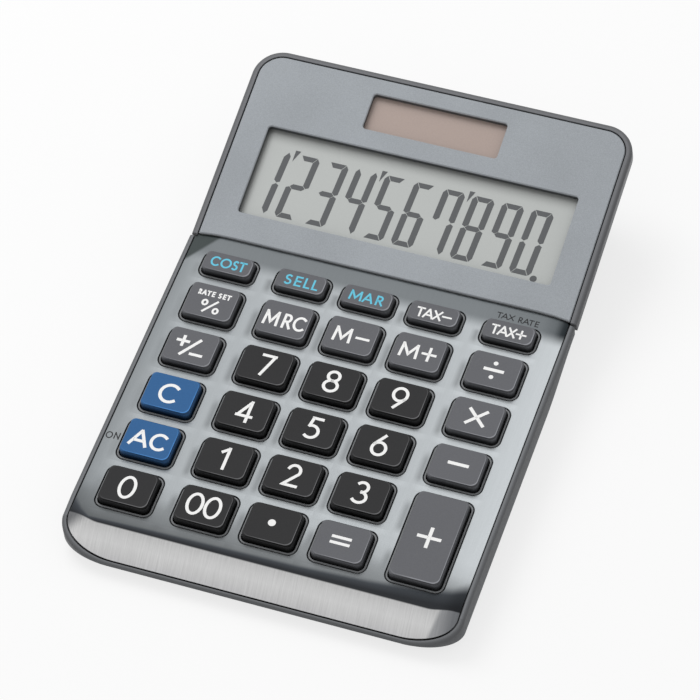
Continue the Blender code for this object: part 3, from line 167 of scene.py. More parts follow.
def paint(red, green, blue):
    """Linear colour of a screen colour given from 0 to 255."""
    screen = np.array([red, green, blue]) / 255
    linear = np.where(screen <= 0.04045, screen / 12.92, ((screen + 0.055) / 1.055) ** 2.4)
    return (*linear.tolist(), 1.0)


def spread(tree, value, low, high, start=0.3, end=0.7):
    """Map a measure, as a rule a noise, from its own range onto a range of numbers, with soft ends."""
    ranges = {"Value": value, "From Min": start, "From Max": end, "To Min": low, "To Max": high}
    return put(tree, "MapRange", ranges, interpolation_type="SMOOTHSTEP").outputs["Result"]


def mixed(tree, amount, first, second, blend="MIX"):
    """A colour between two colours, by an amount."""
    colours = {"Factor": amount, "A": first, "B": second}
    return put(tree, "Mix", colours, data_type="RGBA", blend_type=blend).outputs["Result"]


def start_group(name, inputs, outputs):
    """A shader node group with its sockets: its tree, the sockets it is given and the node of its results."""
    tree = bpy.data.node_groups.new(name, "ShaderNodeTree")
    for way, sockets in (("INPUT", inputs), ("OUTPUT", outputs)):
        for socket, kind in sockets.items():
            tree.interface.new_socket(socket, in_out=way, socket_type=f"NodeSocket{kind}")
    return tree, tree.nodes.new("NodeGroupInput").outputs, tree.nodes.new("NodeGroupOutput")


def moulded_group():
    """Moulded surface: fine pits and a slow drift of tone and gloss, from two noises over the piece."""
    tree, given, result = start_group(
        "moulded_surface",
        {"Deep": "Color", "Pale": "Color", "Scale": "Float", "Roughness": "Float", "Depth": "Float"},
        {"Colour": "Color", "Roughness": "Float", "Normal": "Vector"})
    place = put(tree, "TexCoord").outputs["Object"]
    fine = {"Vector": place, "Scale": given["Scale"], "Detail": 3.0, "Roughness": 0.6}
    fine = put(tree, "TexNoise", fine).outputs["Fac"]
    drift = put(tree, "TexNoise", {"Vector": place, "Scale": DRIFT_SCALE, "Detail": 2.0}).outputs["Fac"]
    blend = calc(tree, "MULTIPLY_ADD", drift, 1 - FINE_SHARE, calc(tree, "MULTIPLY", fine, FINE_SHARE))
    bump = put(tree, "Bump", {"Distance": given["Depth"], "Height": fine})
    feed(tree, result, {
        "Colour": mixed(tree, spread(tree, blend, 0.0, 1.0), given["Deep"], given["Pale"]),
        "Roughness": calc(tree, "ADD", spread(tree, drift, -GLOSS_DRIFT, GLOSS_DRIFT), given["Roughness"]),
        "Normal": bump.outputs["Normal"]})
    return tree


moulded_surface = moulded_group()


def moulded(name, colour, roughness=0.45, contrast=0.06, depth=0.000008, scale=GRAIN_SCALE, metallic=0.0,
            specular=0.4):
    """A moulded or painted finish: base tone with fine and slow variation, grain in gloss and in relief."""
    material, tree, shader = new_material(name, {"Metallic": metallic, "Specular IOR Level": specular})
    tone = np.array(paint(*colour)[:3])
    deep, pale = [(*(tone * (1 + part)).tolist(), 1.0) for part in (-contrast, contrast)]
    values = {"Deep": deep, "Pale": pale, "Scale": scale, "Roughness": roughness, "Depth": depth}
    surface = put(tree, "Group", values, node_tree=moulded_surface).outputs
    feed(tree, shader, {"Base Color": surface["Colour"], "Roughness": surface["Roughness"],
                        "Normal": surface["Normal"]})
    return material


def weigh_normals(mesh, crisp):
    """Shade every face corner by the mean, weighed by area, of the faces round its point that lie within
    the angle crisp of its own face, so that flats stay flat beside their roundings.
    """
    def read(items, measure, kind, width=1):
        values = np.empty(len(items) * width, dtype=kind)
        items.foreach_get(measure, values)
        return values

    corner_point = read(mesh.loops, "vertex_index", np.int32)
    sizes = read(mesh.polygons, "loop_total", np.int32)
    corner_normal = np.repeat(read(mesh.polygons, "normal", np.float32, 3).reshape(-1, 3), sizes, axis=0)
    corner_area = np.repeat(read(mesh.polygons, "area", np.float32), sizes)
    order = np.argsort(corner_point, kind="stable")
    count = np.bincount(corner_point)
    start = np.cumsum(count) - count
    around = count[corner_point]
    first = np.repeat(np.arange(len(corner_point)), around)
    step = np.arange(len(first)) - np.repeat(np.cumsum(around) - around, around)
    second = order[start[corner_point[first]] + step]
    near = (corner_normal[first] * corner_normal[second]).sum(axis=1) > cos(radians(crisp))
    share = corner_normal[second] * (corner_area[second] * near)[:, None]
    mean = np.stack([np.bincount(first, share[:, axis], len(corner_point)) for axis in range(3)], axis=-1)
    length = np.linalg.norm(mean, axis=1)[:, None]
    mean = np.where(length > 0, mean / np.where(length > 0, length, 1), corner_normal)
    mesh.normals_split_custom_set(mean.tolist())


def tidy_mesh(mesh, crisp):
    """Merge the doubles, turn the faces outwards and keep only the edges sharper than the angle crisp."""
    shape = bmesh.new()
    shape.from_mesh(mesh)
    bmesh.ops.remove_doubles(shape, verts=shape.verts, dist=WELD)
    bmesh.ops.recalc_face_normals(shape, faces=shape.faces)
    shape.to_mesh(mesh)
    shape.free()
    mesh.shade_smooth()
    weigh_normals(mesh, crisp)


def place_piece(name, mesh, material, body, slot, *nodes_replaced):
    """Make an object of a mesh, give it its finish and body, and hide the imported nodes that it stands in
    for.
    """
    item = stand(name, mesh)
    mesh.materials.append(material)
    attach(item, body)
    if nodes_replaced:
        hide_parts(*nodes_replaced)
    return item


def packed_copy(node):
    """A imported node's mesh in its place in the world, without its finish."""
    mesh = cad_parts[node].data.copy()
    mesh.transform(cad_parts[node].matrix_world)
    mesh.materials.clear()
    return mesh


def smooth_copy(node, material, slot):
    """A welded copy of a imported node, shaded smooth where its walls are round."""
    mesh = packed_copy(node)
    tidy_mesh(mesh, CRISP)
    place_piece(f"{node}_shell", mesh, material, "case", slot, node)


shell_plastic = moulded("shell_plastic", (58, 59, 61), roughness=0.55, depth=0.00002, scale=1500.0)
smooth_copy("bottom_case", shell_plastic, "bottom_case")
smooth_copy("battery_cover", moulded("door_plastic", (52, 53, 55), roughness=0.5), "bottom_case")


# Feet and screws. Four turned rubber feet are glued into round recesses; the pan-head screws are zinc
# plated steel and stand at the bottom of the wells.
rubber = moulded("foot_rubber", (38, 38, 39), roughness=0.85, contrast=0.12, depth=0.00003, scale=1800.0)
for number in range(1, 5):
    smooth_copy(f"foot_{number}", rubber, "feet")
zinc = moulded("zinc_steel", (176, 178, 180), roughness=0.3, contrast=0.05, metallic=1.0)
for node in ["battery_cover_screw"] + [f"case_screw_{number}" for number in range(1, 7)]:
    smooth_copy(node, zinc, "screws")


# What lies inside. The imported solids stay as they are: laminate board and its resin drop, display holder,
# film, leads, button cell and its spring contacts, each in its own finish.
def dress(node, material):
    """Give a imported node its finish."""
    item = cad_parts[node]
    if not item.material_slots:
        item.data.materials.append(material)
    for place in item.material_slots:
        place.material = material


dress("main_board", moulded("board_laminate", (38, 98, 58), roughness=0.4, scale=900.0))
dress("chip_cover", moulded("chip_resin", (28, 28, 29), roughness=0.35))
dress("display_holder", moulded("holder_plastic", (205, 205, 200), roughness=0.5))
dress("lcd_ribbon", moulded("ribbon_film", (190, 160, 105), roughness=0.35))
dress("solar_lead_red", moulded("red_sleeve", (178, 40, 36)))
dress("solar_lead_black", moulded("black_sleeve", (34, 34, 35)))
dress("battery_cell", moulded("cell_steel", (196, 196, 192), roughness=0.22, metallic=1.0))
contact = moulded("contact_steel", (200, 190, 170), roughness=0.28, metallic=1.0)
dress("battery_contact_negative", contact)
dress("battery_contact_positive", contact)


# Upper case. One dark grey moulding: a narrow border with a rounded outer edge round the faceplate, the
# side walls below it, a recessed deck under the plate, and a thin collar standing up round every key.
CREASE_Y = -0.0699117
CREASE_HEIGHT = 0.0102
DECK_TILT = radians(3.0)
BAND_DROP = radians(39.0)
BEND_RADIUS = 0.0025
CREASE_CURL = 0.0008
CURL_START = 0.040
CASE_HALF = 0.052
CASE_REACH = 0.0094 * cos(BAND_DROP)
CASE_REAR = 0.09018
SIDE_BORDER = 0.00126
CORNER_WIDTH = 0.0135
BORDER_ROUNDING = 0.0009
CASE_DEPTH = 0.0067
SEAM_DEPTH = 0.0034
SEAM_RISE_LENGTH = 0.024
CASE_WALL = 0.0018
PLATE_HALF = 0.05044
PLATE_REACH = 0.0083 * cos(BAND_DROP)
POCKET_REACH = 0.0086 * cos(BAND_DROP)
PLATE_THICKNESS = 0.0005
DECK_TOP = 0.0008
DECK_THICKNESS = 0.0015
KEY_WIDTH = 0.0154
KEY_DEPTH = 0.0127
LOW_KEY_DEPTH = 0.0083
KEY_CORNER = 0.00245
ROW_PITCH = 0.01476
FRONT_ROW = 0.00442
COLUMNS = (-0.03823, -0.01835, -0.0005, 0.01735, 0.03723)
KEY_ROWS = (
    ("key_0", "key_00", "key_point", "key_equals"),
    ("key_ac", "key_1", "key_2", "key_3"),
    ("key_c", "key_4", "key_5", "key_6", "key_minus"),
    ("key_sign", "key_7", "key_8", "key_9", "key_times"),
    ("key_percent", "key_mrc", "key_memory_minus", "key_memory_plus", "key_divide"),
    ("key_cost", "key_sell", "key_margin", "key_tax_minus", "key_tax_plus"),
)
LOW_ROW = 5
COLLAR_OUTSIDE = 0.0003
COLLAR_INSIDE = 0.00075
COLLAR_SECTION = ((COLLAR_OUTSIDE, DECK_TOP), (COLLAR_OUTSIDE, 0.00010), (0.00034, 0.00003), (0.00042, 0.0),
                  (0.00063, 0.0), (0.00071, 0.00003), (COLLAR_INSIDE, 0.00010), (COLLAR_INSIDE, DECK_TOP))
BORDER_LEDGE = ((1.0, -DECK_TOP), (1.0, -0.00010), (0.96, -0.00002), (0.9, 0.0))
SIDE_INTERVALS = 16
ARC_INTERVALS = 5
ROUNDING_POINTS = 9
CORNER_POINTS = 26
PLAN_STEP = 0.000000031
BEND_ROWS = (0.0022, -0.0010, 14)
FIRST_CORNER_ROW = 0.0013
CORNER_ROWS = 16
SEAM_POINTS = 14
SIDE_POINTS = 12
FRONT_POINTS = 22


def deck(x, along, above):
    """World points of places on the keyboard plane, which is turned back about the crease."""
    y = CREASE_Y + along * cos(DECK_TILT) - above * sin(DECK_TILT)
    z = CREASE_HEIGHT + along * sin(DECK_TILT) + above * cos(DECK_TILT)
    return np.stack(np.broadcast_arrays(x, y, z), axis=-1)


def bend_height(x, along):
    """Height and slope angle of the bent sheet: flat, then a circular bend, then a straight drop.

    The crease curls back near both ends by the square of the way past its straight part.
    """
    past = np.clip((np.abs(x) - CURL_START) / (CASE_HALF - CURL_START), 0, 1)
    place = along - CREASE_CURL * past ** 2
    tangent = BEND_RADIUS * tan(BAND_DROP / 2)
    angle = np.arcsin(np.clip((tangent - place) / BEND_RADIUS, 0, sin(BAND_DROP)))
    curved = BEND_RADIUS * (np.cos(angle) - 1)
    straight = np.minimum(place, 0) * tan(BAND_DROP)
    return np.where(place < -tangent * cos(BAND_DROP), straight, curved), angle


def bent(x, along, above):
    """World points at a distance above the bent sheet, measured square to it."""
    height, angle = bend_height(x, along)
    return deck(x, along - above * np.sin(angle), height + above * np.cos(angle))


def grid_faces(rows, columns, round_rows=False, round_columns=False):
    """Quads between the neighbours of a grid of points; a round direction joins its end to its start."""
    r = np.arange(rows if round_rows else rows - 1)[:, None]
    c = np.arange(columns if round_columns else columns - 1)[None, :]
    s, d = (r + 1) % rows, (c + 1) % columns
    corners = np.stack([r * columns + c, r * columns + d, s * columns + d, s * columns + c], axis=-1)
    return corners.reshape(-1, 4)


def new_mesh(name, points, faces, crisp=CRISP, **marks):
    """A clean mesh of points and faces; a mark is an attribute with one number for every point."""
    mesh = bpy.data.meshes.new(name)
    mesh.from_pydata(points.reshape(-1, 3).tolist(), [], faces if isinstance(faces, list) else faces.tolist())
    for mark, values in marks.items():
        values = np.ravel(values).astype(np.float32)
        mesh.attributes.new(mark, "FLOAT", "POINT").data.foreach_set("value", values)
    tidy_mesh(mesh, crisp)
    return mesh


def carried(points, closed=False):
    """A surface of points by path and section: closed along its path, or else capped at both ends."""
    count, section = points.shape[:2]
    faces = grid_faces(count, section, round_rows=closed, round_columns=True)
    caps = [] if closed else [list(range(start, start + section)) for start in (0, (count - 1) * section)]
    return points, faces, caps


def joined(name, surfaces, **marks):
    """One mesh out of several closed surfaces, each an array of points, its quads and its end caps."""
    points, faces, first = [], [], 0
    for surface, quads, caps in surfaces:
        points.append(surface.reshape(-1, 3))
        faces += (quads + first).tolist()
        faces += [[corner + first for corner in cap] for cap in caps]
        first += len(points[-1])
    return new_mesh(name, np.concatenate(points), faces, **marks)


def key_places():
    """Names, centres and hole depths of the keys, row by row from the front; the tall key comes last."""
    places = {}
    for row, names in enumerate(KEY_ROWS):
        depth = LOW_KEY_DEPTH if row == LOW_ROW else KEY_DEPTH
        for x, name in zip(COLUMNS, names):
            places[name] = (x, FRONT_ROW + row * ROW_PITCH + depth / 2, depth)
    tall = ROW_PITCH + KEY_DEPTH
    places["key_plus"] = (COLUMNS[-1], FRONT_ROW + tall / 2, tall)
    return places


KEYS = key_places()


def outline(width, depth, radii, centre, intervals, arcs=ARC_INTERVALS):
    """Closed outline of a rectangle with round corners, from the middle of its first corner.

    Each side runs from the middle of one corner's arc to the middle of the next: half an arc, a straight
    part, half an arc. A corner of no radius has no arc steps. Every side has its own count of intervals.
    """
    signs = np.array([(-1, -1), (1, -1), (1, 1), (-1, 1)])
    radii = np.broadcast_to(radii, 4)
    centres = signs * (np.array([[width, depth]]) / 2 - radii[:, None])
    points = []
    for first in range(4):
        second = (first + 1) % 4
        steps = [arcs if radii[corner] > 0 else 0 for corner in (first, second)]
        ends = []
        for corner, angle, count in ((first, 225, steps[0]), (second, 270, steps[1])):
            turn = radians(angle + 90 * first) + np.linspace(0, pi / 4, count + 1)
            ends.append(centres[corner] + radii[corner] * np.stack([np.cos(turn), np.sin(turn)], axis=-1))
        start, end = ends
        share = np.linspace(0, 1, intervals[first] - sum(steps) + 1)[1:-1, None]
        points += [start, start[-1] + (end[0] - start[-1]) * share, end[:-1]]
    return np.concatenate(points) + np.array(centre)


def key_counts(name):
    """Intervals of the four sides of a key's outline; the tall key has twice as many on its long sides."""
    return (SIDE_INTERVALS, SIDE_INTERVALS * (2 if name == "key_plus" else 1)) * 2


def key_outline(name, margin):
    """Outline of a key's hole moved outwards by a margin, which may be negative."""
    x, along, depth = KEYS[name]
    size = (KEY_WIDTH + 2 * margin, depth + 2 * margin)
    return outline(*size, KEY_CORNER + margin, (x, along), key_counts(name))


def weld_plan(patches):
    """One sheet out of patches of flat points and quads: points at the same place become one.

    The rounding step is an odd number, so that no place falls half way between two steps.
    """
    counts = np.cumsum([0] + [len(points) for points, _ in patches])
    points = np.concatenate([points for points, _ in patches])
    faces = np.concatenate([faces + start for (_, faces), start in zip(patches, counts)])
    places = np.round(points / PLAN_STEP)
    _, first, inverse = np.unique(places, axis=0, return_index=True, return_inverse=True)
    return points[first], inverse.reshape(-1)[faces]


def ring_patch(inner, outer):
    """Quads between a hole's outline and the outline of the cell round it, with equal counts of points."""
    return np.concatenate([inner, outer]), grid_faces(2, len(inner), round_columns=True)[:, ::-1]


def keypad_sheet(margin, half, front_strip, rear_strip):
    """The keyboard's flat sheet: a cell round every key hole, and strips of rows in front and behind.

    Columns and rows of cells meet half way between the holes. The strips repeat the cells' own x places,
    drawn in to the half width that each of their rows has.
    """
    edges = [-half] + [(a + b) / 2 for a, b in zip(COLUMNS, COLUMNS[1:])] + [half]
    gap = (ROW_PITCH - KEY_DEPTH) / 2
    patches = []
    for name, (x, along, depth) in KEYS.items():
        left, right = edges[COLUMNS.index(x):][:2]
        low, high = along - depth / 2 - gap, along + depth / 2 + gap
        middle = (left + (right - left) / 2, (low + high) / 2)
        cell = outline(right - left, high - low, 0, middle, key_counts(name))
        patches.append(ring_patch(key_outline(name, margin), cell))
    columns = [np.linspace(a, b, SIDE_INTERVALS + 1)[:-1] for a, b in zip(edges, edges[1:])]
    across = np.concatenate(columns + [[half]])
    front = FRONT_ROW - gap
    rear = FRONT_ROW + LOW_ROW * ROW_PITCH + LOW_KEY_DEPTH + gap
    for start, strip in ((front, front_strip), (rear, rear_strip)):
        alongs = np.array([start] + [along for along, _ in strip])[:, None]
        halves = np.array([half] + [width for _, width in strip])[:, None]
        points = np.stack(np.broadcast_arrays(across / half * halves, alongs), axis=-1).reshape(-1, 2)
        faces = grid_faces(len(alongs), len(across))
        patches.append((points, faces if strip[0][0] > start else faces[:, ::-1]))
    return weld_plan(patches)


def sheet_solid(name, plan, faces, thickness, place, rolls=(), crisp=CRISP):
    """A plate with worked edges out of a flat sheet of quads.

    The sheet's free edges are those that only one quad uses. Their points move out along the mean of
    the neighbouring edges' normals, once for every (out, down) pair in rolls, then drop by the
    thickness to a second sheet that closes the plate. place turns plan and level into world points.
    """
    start, end = faces.ravel(), np.roll(faces, -1, axis=1).ravel()
    count = len(plan)
    free = ~np.isin(start * count + end, end * count + start)
    start, end = start[free], end[free]
    along = plan[end] - plan[start]
    normal = np.stack([along[:, 1], -along[:, 0]], axis=-1) / np.linalg.norm(along, axis=1)[:, None]
    out = np.zeros((count, 2))
    np.add.at(out, start, normal)
    np.add.at(out, end, normal)
    rim = np.unique(start)
    out = out[rim] * 2 / np.maximum((out[rim] ** 2).sum(axis=1), 0.5)[:, None]
    seat = np.zeros(count, dtype=int)
    seat[rim] = np.arange(len(rim))
    levels = [(0.0, 0.0), *rolls]
    levels.append((levels[-1][0], thickness))
    points = [place(plan[:, 0], plan[:, 1], np.zeros(count))]
    for outwards, down in levels[1:]:
        moved = plan[rim] + out * outwards
        points.append(place(moved[:, 0], moved[:, 1], np.full(len(rim), -down)))
    points.append(place(plan[:, 0], plan[:, 1], np.full(count, -thickness)))
    below = [count + len(rim) * level for level in range(len(levels))]
    rings = [(start, end)] + [(first + seat[start], first + seat[end]) for first in below[:-1]]
    rings.append((below[-1] + start, below[-1] + end))
    quads = [np.stack([b, a, c, d], axis=-1) for (a, b), (c, d) in zip(rings, rings[1:])]
    faces = np.concatenate([faces, *quads, below[-1] + faces[:, ::-1]])
    return new_mesh(name, np.concatenate(points), faces, crisp)


def front_rows(half, reach):
    """Rows of (along, half width) from the keys down to the sheet's elliptical front corners."""
    turns = np.linspace(np.arcsin(FIRST_CORNER_ROW / reach), pi / 2, CORNER_ROWS)
    alongs = np.concatenate([np.linspace(*BEND_ROWS), -reach * np.sin(turns)])
    shares = np.sqrt(np.clip(1 - (np.minimum(alongs, 0) / reach) ** 2, 0, 1))
    halves = half - CORNER_WIDTH + CORNER_WIDTH * shares
    return list(zip(alongs.tolist(), halves.tolist()))


def seam_depth(along):
    """Depth of the parting line under the keyboard plane: level, then a smooth rise towards the head."""
    share = np.clip((along - (CASE_REAR - SEAM_RISE_LENGTH)) / SEAM_RISE_LENGTH, 0, 1)
    return CASE_DEPTH - (CASE_DEPTH - SEAM_DEPTH) * share ** 2 * (3 - 2 * share)


def border_path(half, reach):
    """Plan of the border line from the rear left, round the front corners, to the rear right."""
    sides = np.concatenate([np.linspace(CASE_REAR, CASE_REAR - SEAM_RISE_LENGTH, SEAM_POINTS),
                            np.linspace(CASE_REAR - SEAM_RISE_LENGTH, 0, SIDE_POINTS)[1:]])
    turn = np.linspace(0, pi / 2, CORNER_POINTS)[1:]
    start = half - CORNER_WIDTH
    left = np.concatenate([np.stack([np.full(len(sides), -half), sides], axis=-1),
                           np.stack([-start - CORNER_WIDTH * np.cos(turn), -reach * np.sin(turn)], axis=-1)])
    across = np.linspace(-start, start, FRONT_POINTS)[1:-1]
    middle = np.stack([across, np.full(len(across), -reach)], axis=-1)
    return np.concatenate([left, middle, left[::-1] * (-1, 1)])


def rounding(size, width):
    """A quarter circle on an outer edge, as shares of the border's width from its outer line and heights."""
    turn = np.linspace(0, pi / 2, ROUNDING_POINTS)
    return np.stack([size / width * (1 - np.sin(turn)), size * (np.cos(turn) - 1)], axis=-1)


def border_surface():
    """The border and walls: a closed section carried round the case between two plan lines.

    The section runs over the top from the inner line, round the outer edge on a quarter circle, down the
    wall to the parting line and back up inside.
    """
    outer = border_path(CASE_HALF, CASE_REACH)
    inner = border_path(CASE_HALF - SIDE_BORDER, POCKET_REACH)
    shares, drops = np.concatenate([BORDER_LEDGE, rounding(BORDER_ROUNDING, SIDE_BORDER)]).T
    plan = outer[:, None] + (inner - outer)[:, None] * shares[None, :, None]
    height = bend_height(plan[..., 0], plan[..., 1])[0] + drops
    foot = -seam_depth(outer[:, 1])[:, None]
    inside = outer + (inner - outer) * (CASE_WALL / SIDE_BORDER)
    plan = np.concatenate([plan, np.stack([outer, inside, inside], axis=1)], axis=1)
    height = np.concatenate([height, foot, foot, height[:, :1]], axis=1)
    return carried(deck(plan[..., 0], plan[..., 1], height))


def collar_surface(name):
    """A collar: a thin rounded section carried round the outline of a key's hole."""
    margins, drops = np.array(COLLAR_SECTION).T
    plan = np.stack([key_outline(name, -margin) for margin in margins])
    return carried(deck(plan[..., 0], plan[..., 1], -drops[:, None]), closed=True)


def multiplied(material, share):
    """Multiply a finish's tone by a share: below 1 for painted shade, above 1 for a painted glint."""
    tree = material.node_tree
    tone = tree.nodes["Principled BSDF"].inputs["Base Color"]
    tree.links.new(mixed(tree, 1.0, tone.links[0].from_socket, share, "MULTIPLY"), tone)
    return material


def edge_light_group():
    """Painted light on a border: the given dark share where the mark catch is 0, full where it is 1."""
    tree, given, result = start_group("edge_light", {"Dark": "Float"}, {"Share": "Float"})
    catch = put(tree, "Attribute", attribute_name="catch").outputs["Fac"]
    dark = given["Dark"]
    share = calc(tree, "MULTIPLY_ADD", catch, calc(tree, "SUBTRACT", 1.0, dark), dark)
    feed(tree, result, {"Share": share})
    return tree


edge_light = edge_light_group()


def edge_lit(material, dark):
    """Paint shade into a finish where the mark catch is low."""
    share = put(material.node_tree, "Group", {"Dark": dark}, node_tree=edge_light).outputs["Share"]
    return multiplied(material, share)


def light_from_above(name, surface, shares):
    """A border's mesh with one number for every point of its section: 1 where it is painted as catching the
    light, lower where it gets painted shade.
    """
    return joined(name, [surface], catch=np.tile(shares, len(surface[0])))


def sunk_deck(x, along, level):
    """World points of the recessed deck under the faceplate."""
    return bent(x, along, level - DECK_TOP)


# The upper case's border gets painted light: lighter along its rounded upper edge, painted shade on its ledge
# and walls.
case_plastic = moulded("case_plastic", (122, 124, 127), roughness=0.42, specular=0.25)
case_plastic = edge_lit(case_plastic, dark=0.50)
border_rounding = np.linspace(1, 0, ROUNDING_POINTS) ** 3
border_shares = np.concatenate([[0.2, 0.4, 0.8, 1.0], border_rounding, [0.5, 0.2, 0.2]])
border_mesh = light_from_above("upper_case_border", border_surface(), border_shares)
place_piece("upper_case_border", border_mesh, case_plastic, "case", "top_case", "top_case")
collar_mesh = joined("key_collars", [collar_surface(name) for name in KEYS])
collar_plastic = moulded("collar_plastic", (126, 128, 130))
place_piece("key_collars", collar_mesh, collar_plastic, "case", "top_case", "top_case")
deck_half = CASE_HALF - CASE_WALL
deck_rows = front_rows(deck_half, PLATE_REACH)
deck_sheet = keypad_sheet(-COLLAR_INSIDE, deck_half, deck_rows, [(CASE_REAR, deck_half)])
deck_mesh = sheet_solid("upper_case_deck", *deck_sheet, DECK_THICKNESS, sunk_deck)
deck_plastic = moulded("deck_plastic", (44, 45, 47), roughness=0.5)
place_piece("upper_case_deck", deck_mesh, deck_plastic, "case", "top_case", "top_case")


# Faceplate. Half a millimetre of aluminium, brushed from back to front, punched for the keys and bent
# down along the crease; it is glued to the deck and slides under the head at its rear end.
PLATE_CHAMFER = 0.00008
PLATE_REAR = 0.0919
PLATE_REAR_HALF = 0.0485
STREAK_SCALE = (3000.0, 110.0, 110.0)
STREAK_DEPTH = 0.000004
# The tones below are painted light: the plate's reflections and shade, set into its colour across and along
# the plate.
PLATE_END = 0.0505
MIDDLE_TONES = ((-PLATE_END, 150), (-0.0475, 163), (-0.044, 174), (-0.028, 183), (0.0, 188), (0.028, 193),
                (0.045, 201), (PLATE_END, 206))
SHADE_TONES = ((-PLATE_END, 128), (-0.044, 134), (0.028, 132), (0.044, 124), (0.0475, 108), (0.0495, 54),
               (PLATE_END, 45))
FRONT_TONES = ((0.0, 150), (0.0030, 168), (0.0042, 184), (0.0060, 194), (0.0080, 208), (0.0095, 226),
               (0.0110, 242), (0.0150, 255))
BAND_REFLECTION_TONES = ((0.0, paint(51, 53, 55)), (0.3, paint(51, 53, 56)), (1.0, paint(76, 80, 85)))
BAND_REACH = ((-PLATE_END, 0.55), (-0.048, 0.28), (-0.0455, 0.12), (-0.028, 0.17), (-0.009, 0.205),
              (0.0085, 0.235), (0.027, 0.34), (0.040, 0.5), (0.047, 0.66), (PLATE_END, 0.85))
BAND_UNIT = 0.01
STRIP_TONES = ((-0.0058, paint(186, 186, 187)), (-0.0046, paint(193, 193, 193)),
               (-0.0030, paint(200, 200, 200)), (-0.0016, paint(196, 196, 196)), (0.0, paint(184, 184, 184)))
BESIDE_KEY = ((-0.0022, 1.0, 0.0), (-0.0010, 0.68, 0.3), (-0.0006, 0.62, 0.45), (0.0, 0.84, 0.7),
              (0.0016, 1.0, 1.0), (KEY_WIDTH, 1.0, 0.8))
PAST_LAST_KEY = 0.0010
FIRST_COLUMN_DEPTH = 0.35
ROW_START = 0.0037
ROW_LIFT = 0.13
MIRROR_IN_ROW = ((-0.02, 0.16), (0.50, 0.74))
MIRROR_IN_PLATE = ((0.0060, 0.0115), (0.0815, 0.0830))
BETWEEN_ROWS = (0.85, 0.95)
HEAD_SHADE = (0.0822, 0.0869)
WEDGE_LEAN = -1.4
WEDGE_SHIFT = -0.063
WEDGE_EDGE = (0.0888, 0.0906)
WEDGE_TONE = paint(78, 84, 84)
BAND_DIM = (1.0, 0.58, 0.0440, 0.0500)
BAND_FADE = (0.75, 1.25)
LEFT_LEAN = -1.1
LEFT_EDGE = (-0.0500, -0.0452)
LEFT_TONE = paint(112, 113, 115)
RIGHT_LEAN = -0.27
RIGHT_EDGE = (0.0449, 0.0462)
RIGHT_RUN = (0.0450, 0.0500)
RIGHT_TONES = (paint(146, 147, 149), paint(106, 108, 111))
CREASE_TURN = (0.0, -0.0010, 0.0425, 0.0490)
CREASE_FADE = (-0.0001, 0.0003)
STREAK_STRENGTH = (0.20, 0.55)
STREAK_GLOSS = (0.28, 0.38)


def tones(tree, value, stops, start=None, end=None):
    """Colours at places along a measure, from the first stop to the last if no start and end are given."""
    start, end = (stops[0][0], stops[-1][0]) if start is None else (start, end)
    run = put(tree, "MapRange", {"Value": value, "From Min": start, "From Max": end}).outputs["Result"]
    ramp = put(tree, "ValToRGB", {"Fac": run})
    while len(ramp.color_ramp.elements) < len(stops):
        ramp.color_ramp.elements.new(0.5)
    for stop, (place, colour) in zip(ramp.color_ramp.elements, stops):
        stop.position = (place - start) / (end - start)
        stop.color = colour
    return ramp.outputs["Color"]


def rising(tree, value, start, end):
    """From 0 to 1 along a measure."""
    return spread(tree, value, 0.0, 1.0, start, end)


def falling(tree, value, start, end):
    """From 1 to 0 along a measure."""
    return spread(tree, value, 1.0, 0.0, start, end)


def within(tree, value, rise, fall):
    """1 between a rise and a fall along a measure, and 0 outside them."""
    return calc(tree, "MULTIPLY", rising(tree, value, *rise), falling(tree, value, *fall))


def cool(tone):
    """A bluish grey of the faceplate."""
    return paint(tone - 4, tone + 1, tone + 4)


def painted_key_reflections(tree, x, along):
    """Painted reflections round the keys: darker just left of each, where its wall is mirrored, and lighter
    between rows.
    """
    stops = []
    for middle in COLUMNS:
        depth = FIRST_COLUMN_DEPTH if middle == COLUMNS[0] else 1.0
        for away, level, under in BESIDE_KEY:
            stops.append((middle - KEY_WIDTH / 2 + away, (1 - (1 - level) * depth, under, 0, 1)))
    stops.append((COLUMNS[-1] + KEY_WIDTH / 2 + PAST_LAST_KEY, (1.0, 0.0, 0, 1)))
    across = put(tree, "SeparateColor", {"Color": tones(tree, x, stops, -PLATE_END, PLATE_END)}).outputs
    row = calc(tree, "FRACT", calc(tree, "MULTIPLY_ADD", along, 1 / ROW_PITCH, -ROW_START / ROW_PITCH))
    mirrored = calc(tree, "MULTIPLY", within(tree, row, *MIRROR_IN_ROW),
                    within(tree, along, *MIRROR_IN_PLATE))
    beside = calc(tree, "MULTIPLY_ADD", calc(tree, "SUBTRACT", across["Red"], 1.0), mirrored, 1.0)
    lift = spread(tree, row, 0.0, ROW_LIFT, *BETWEEN_ROWS)
    between = calc(tree, "MULTIPLY_ADD", across["Green"], lift, 1.0)
    return calc(tree, "MULTIPLY", beside, between)


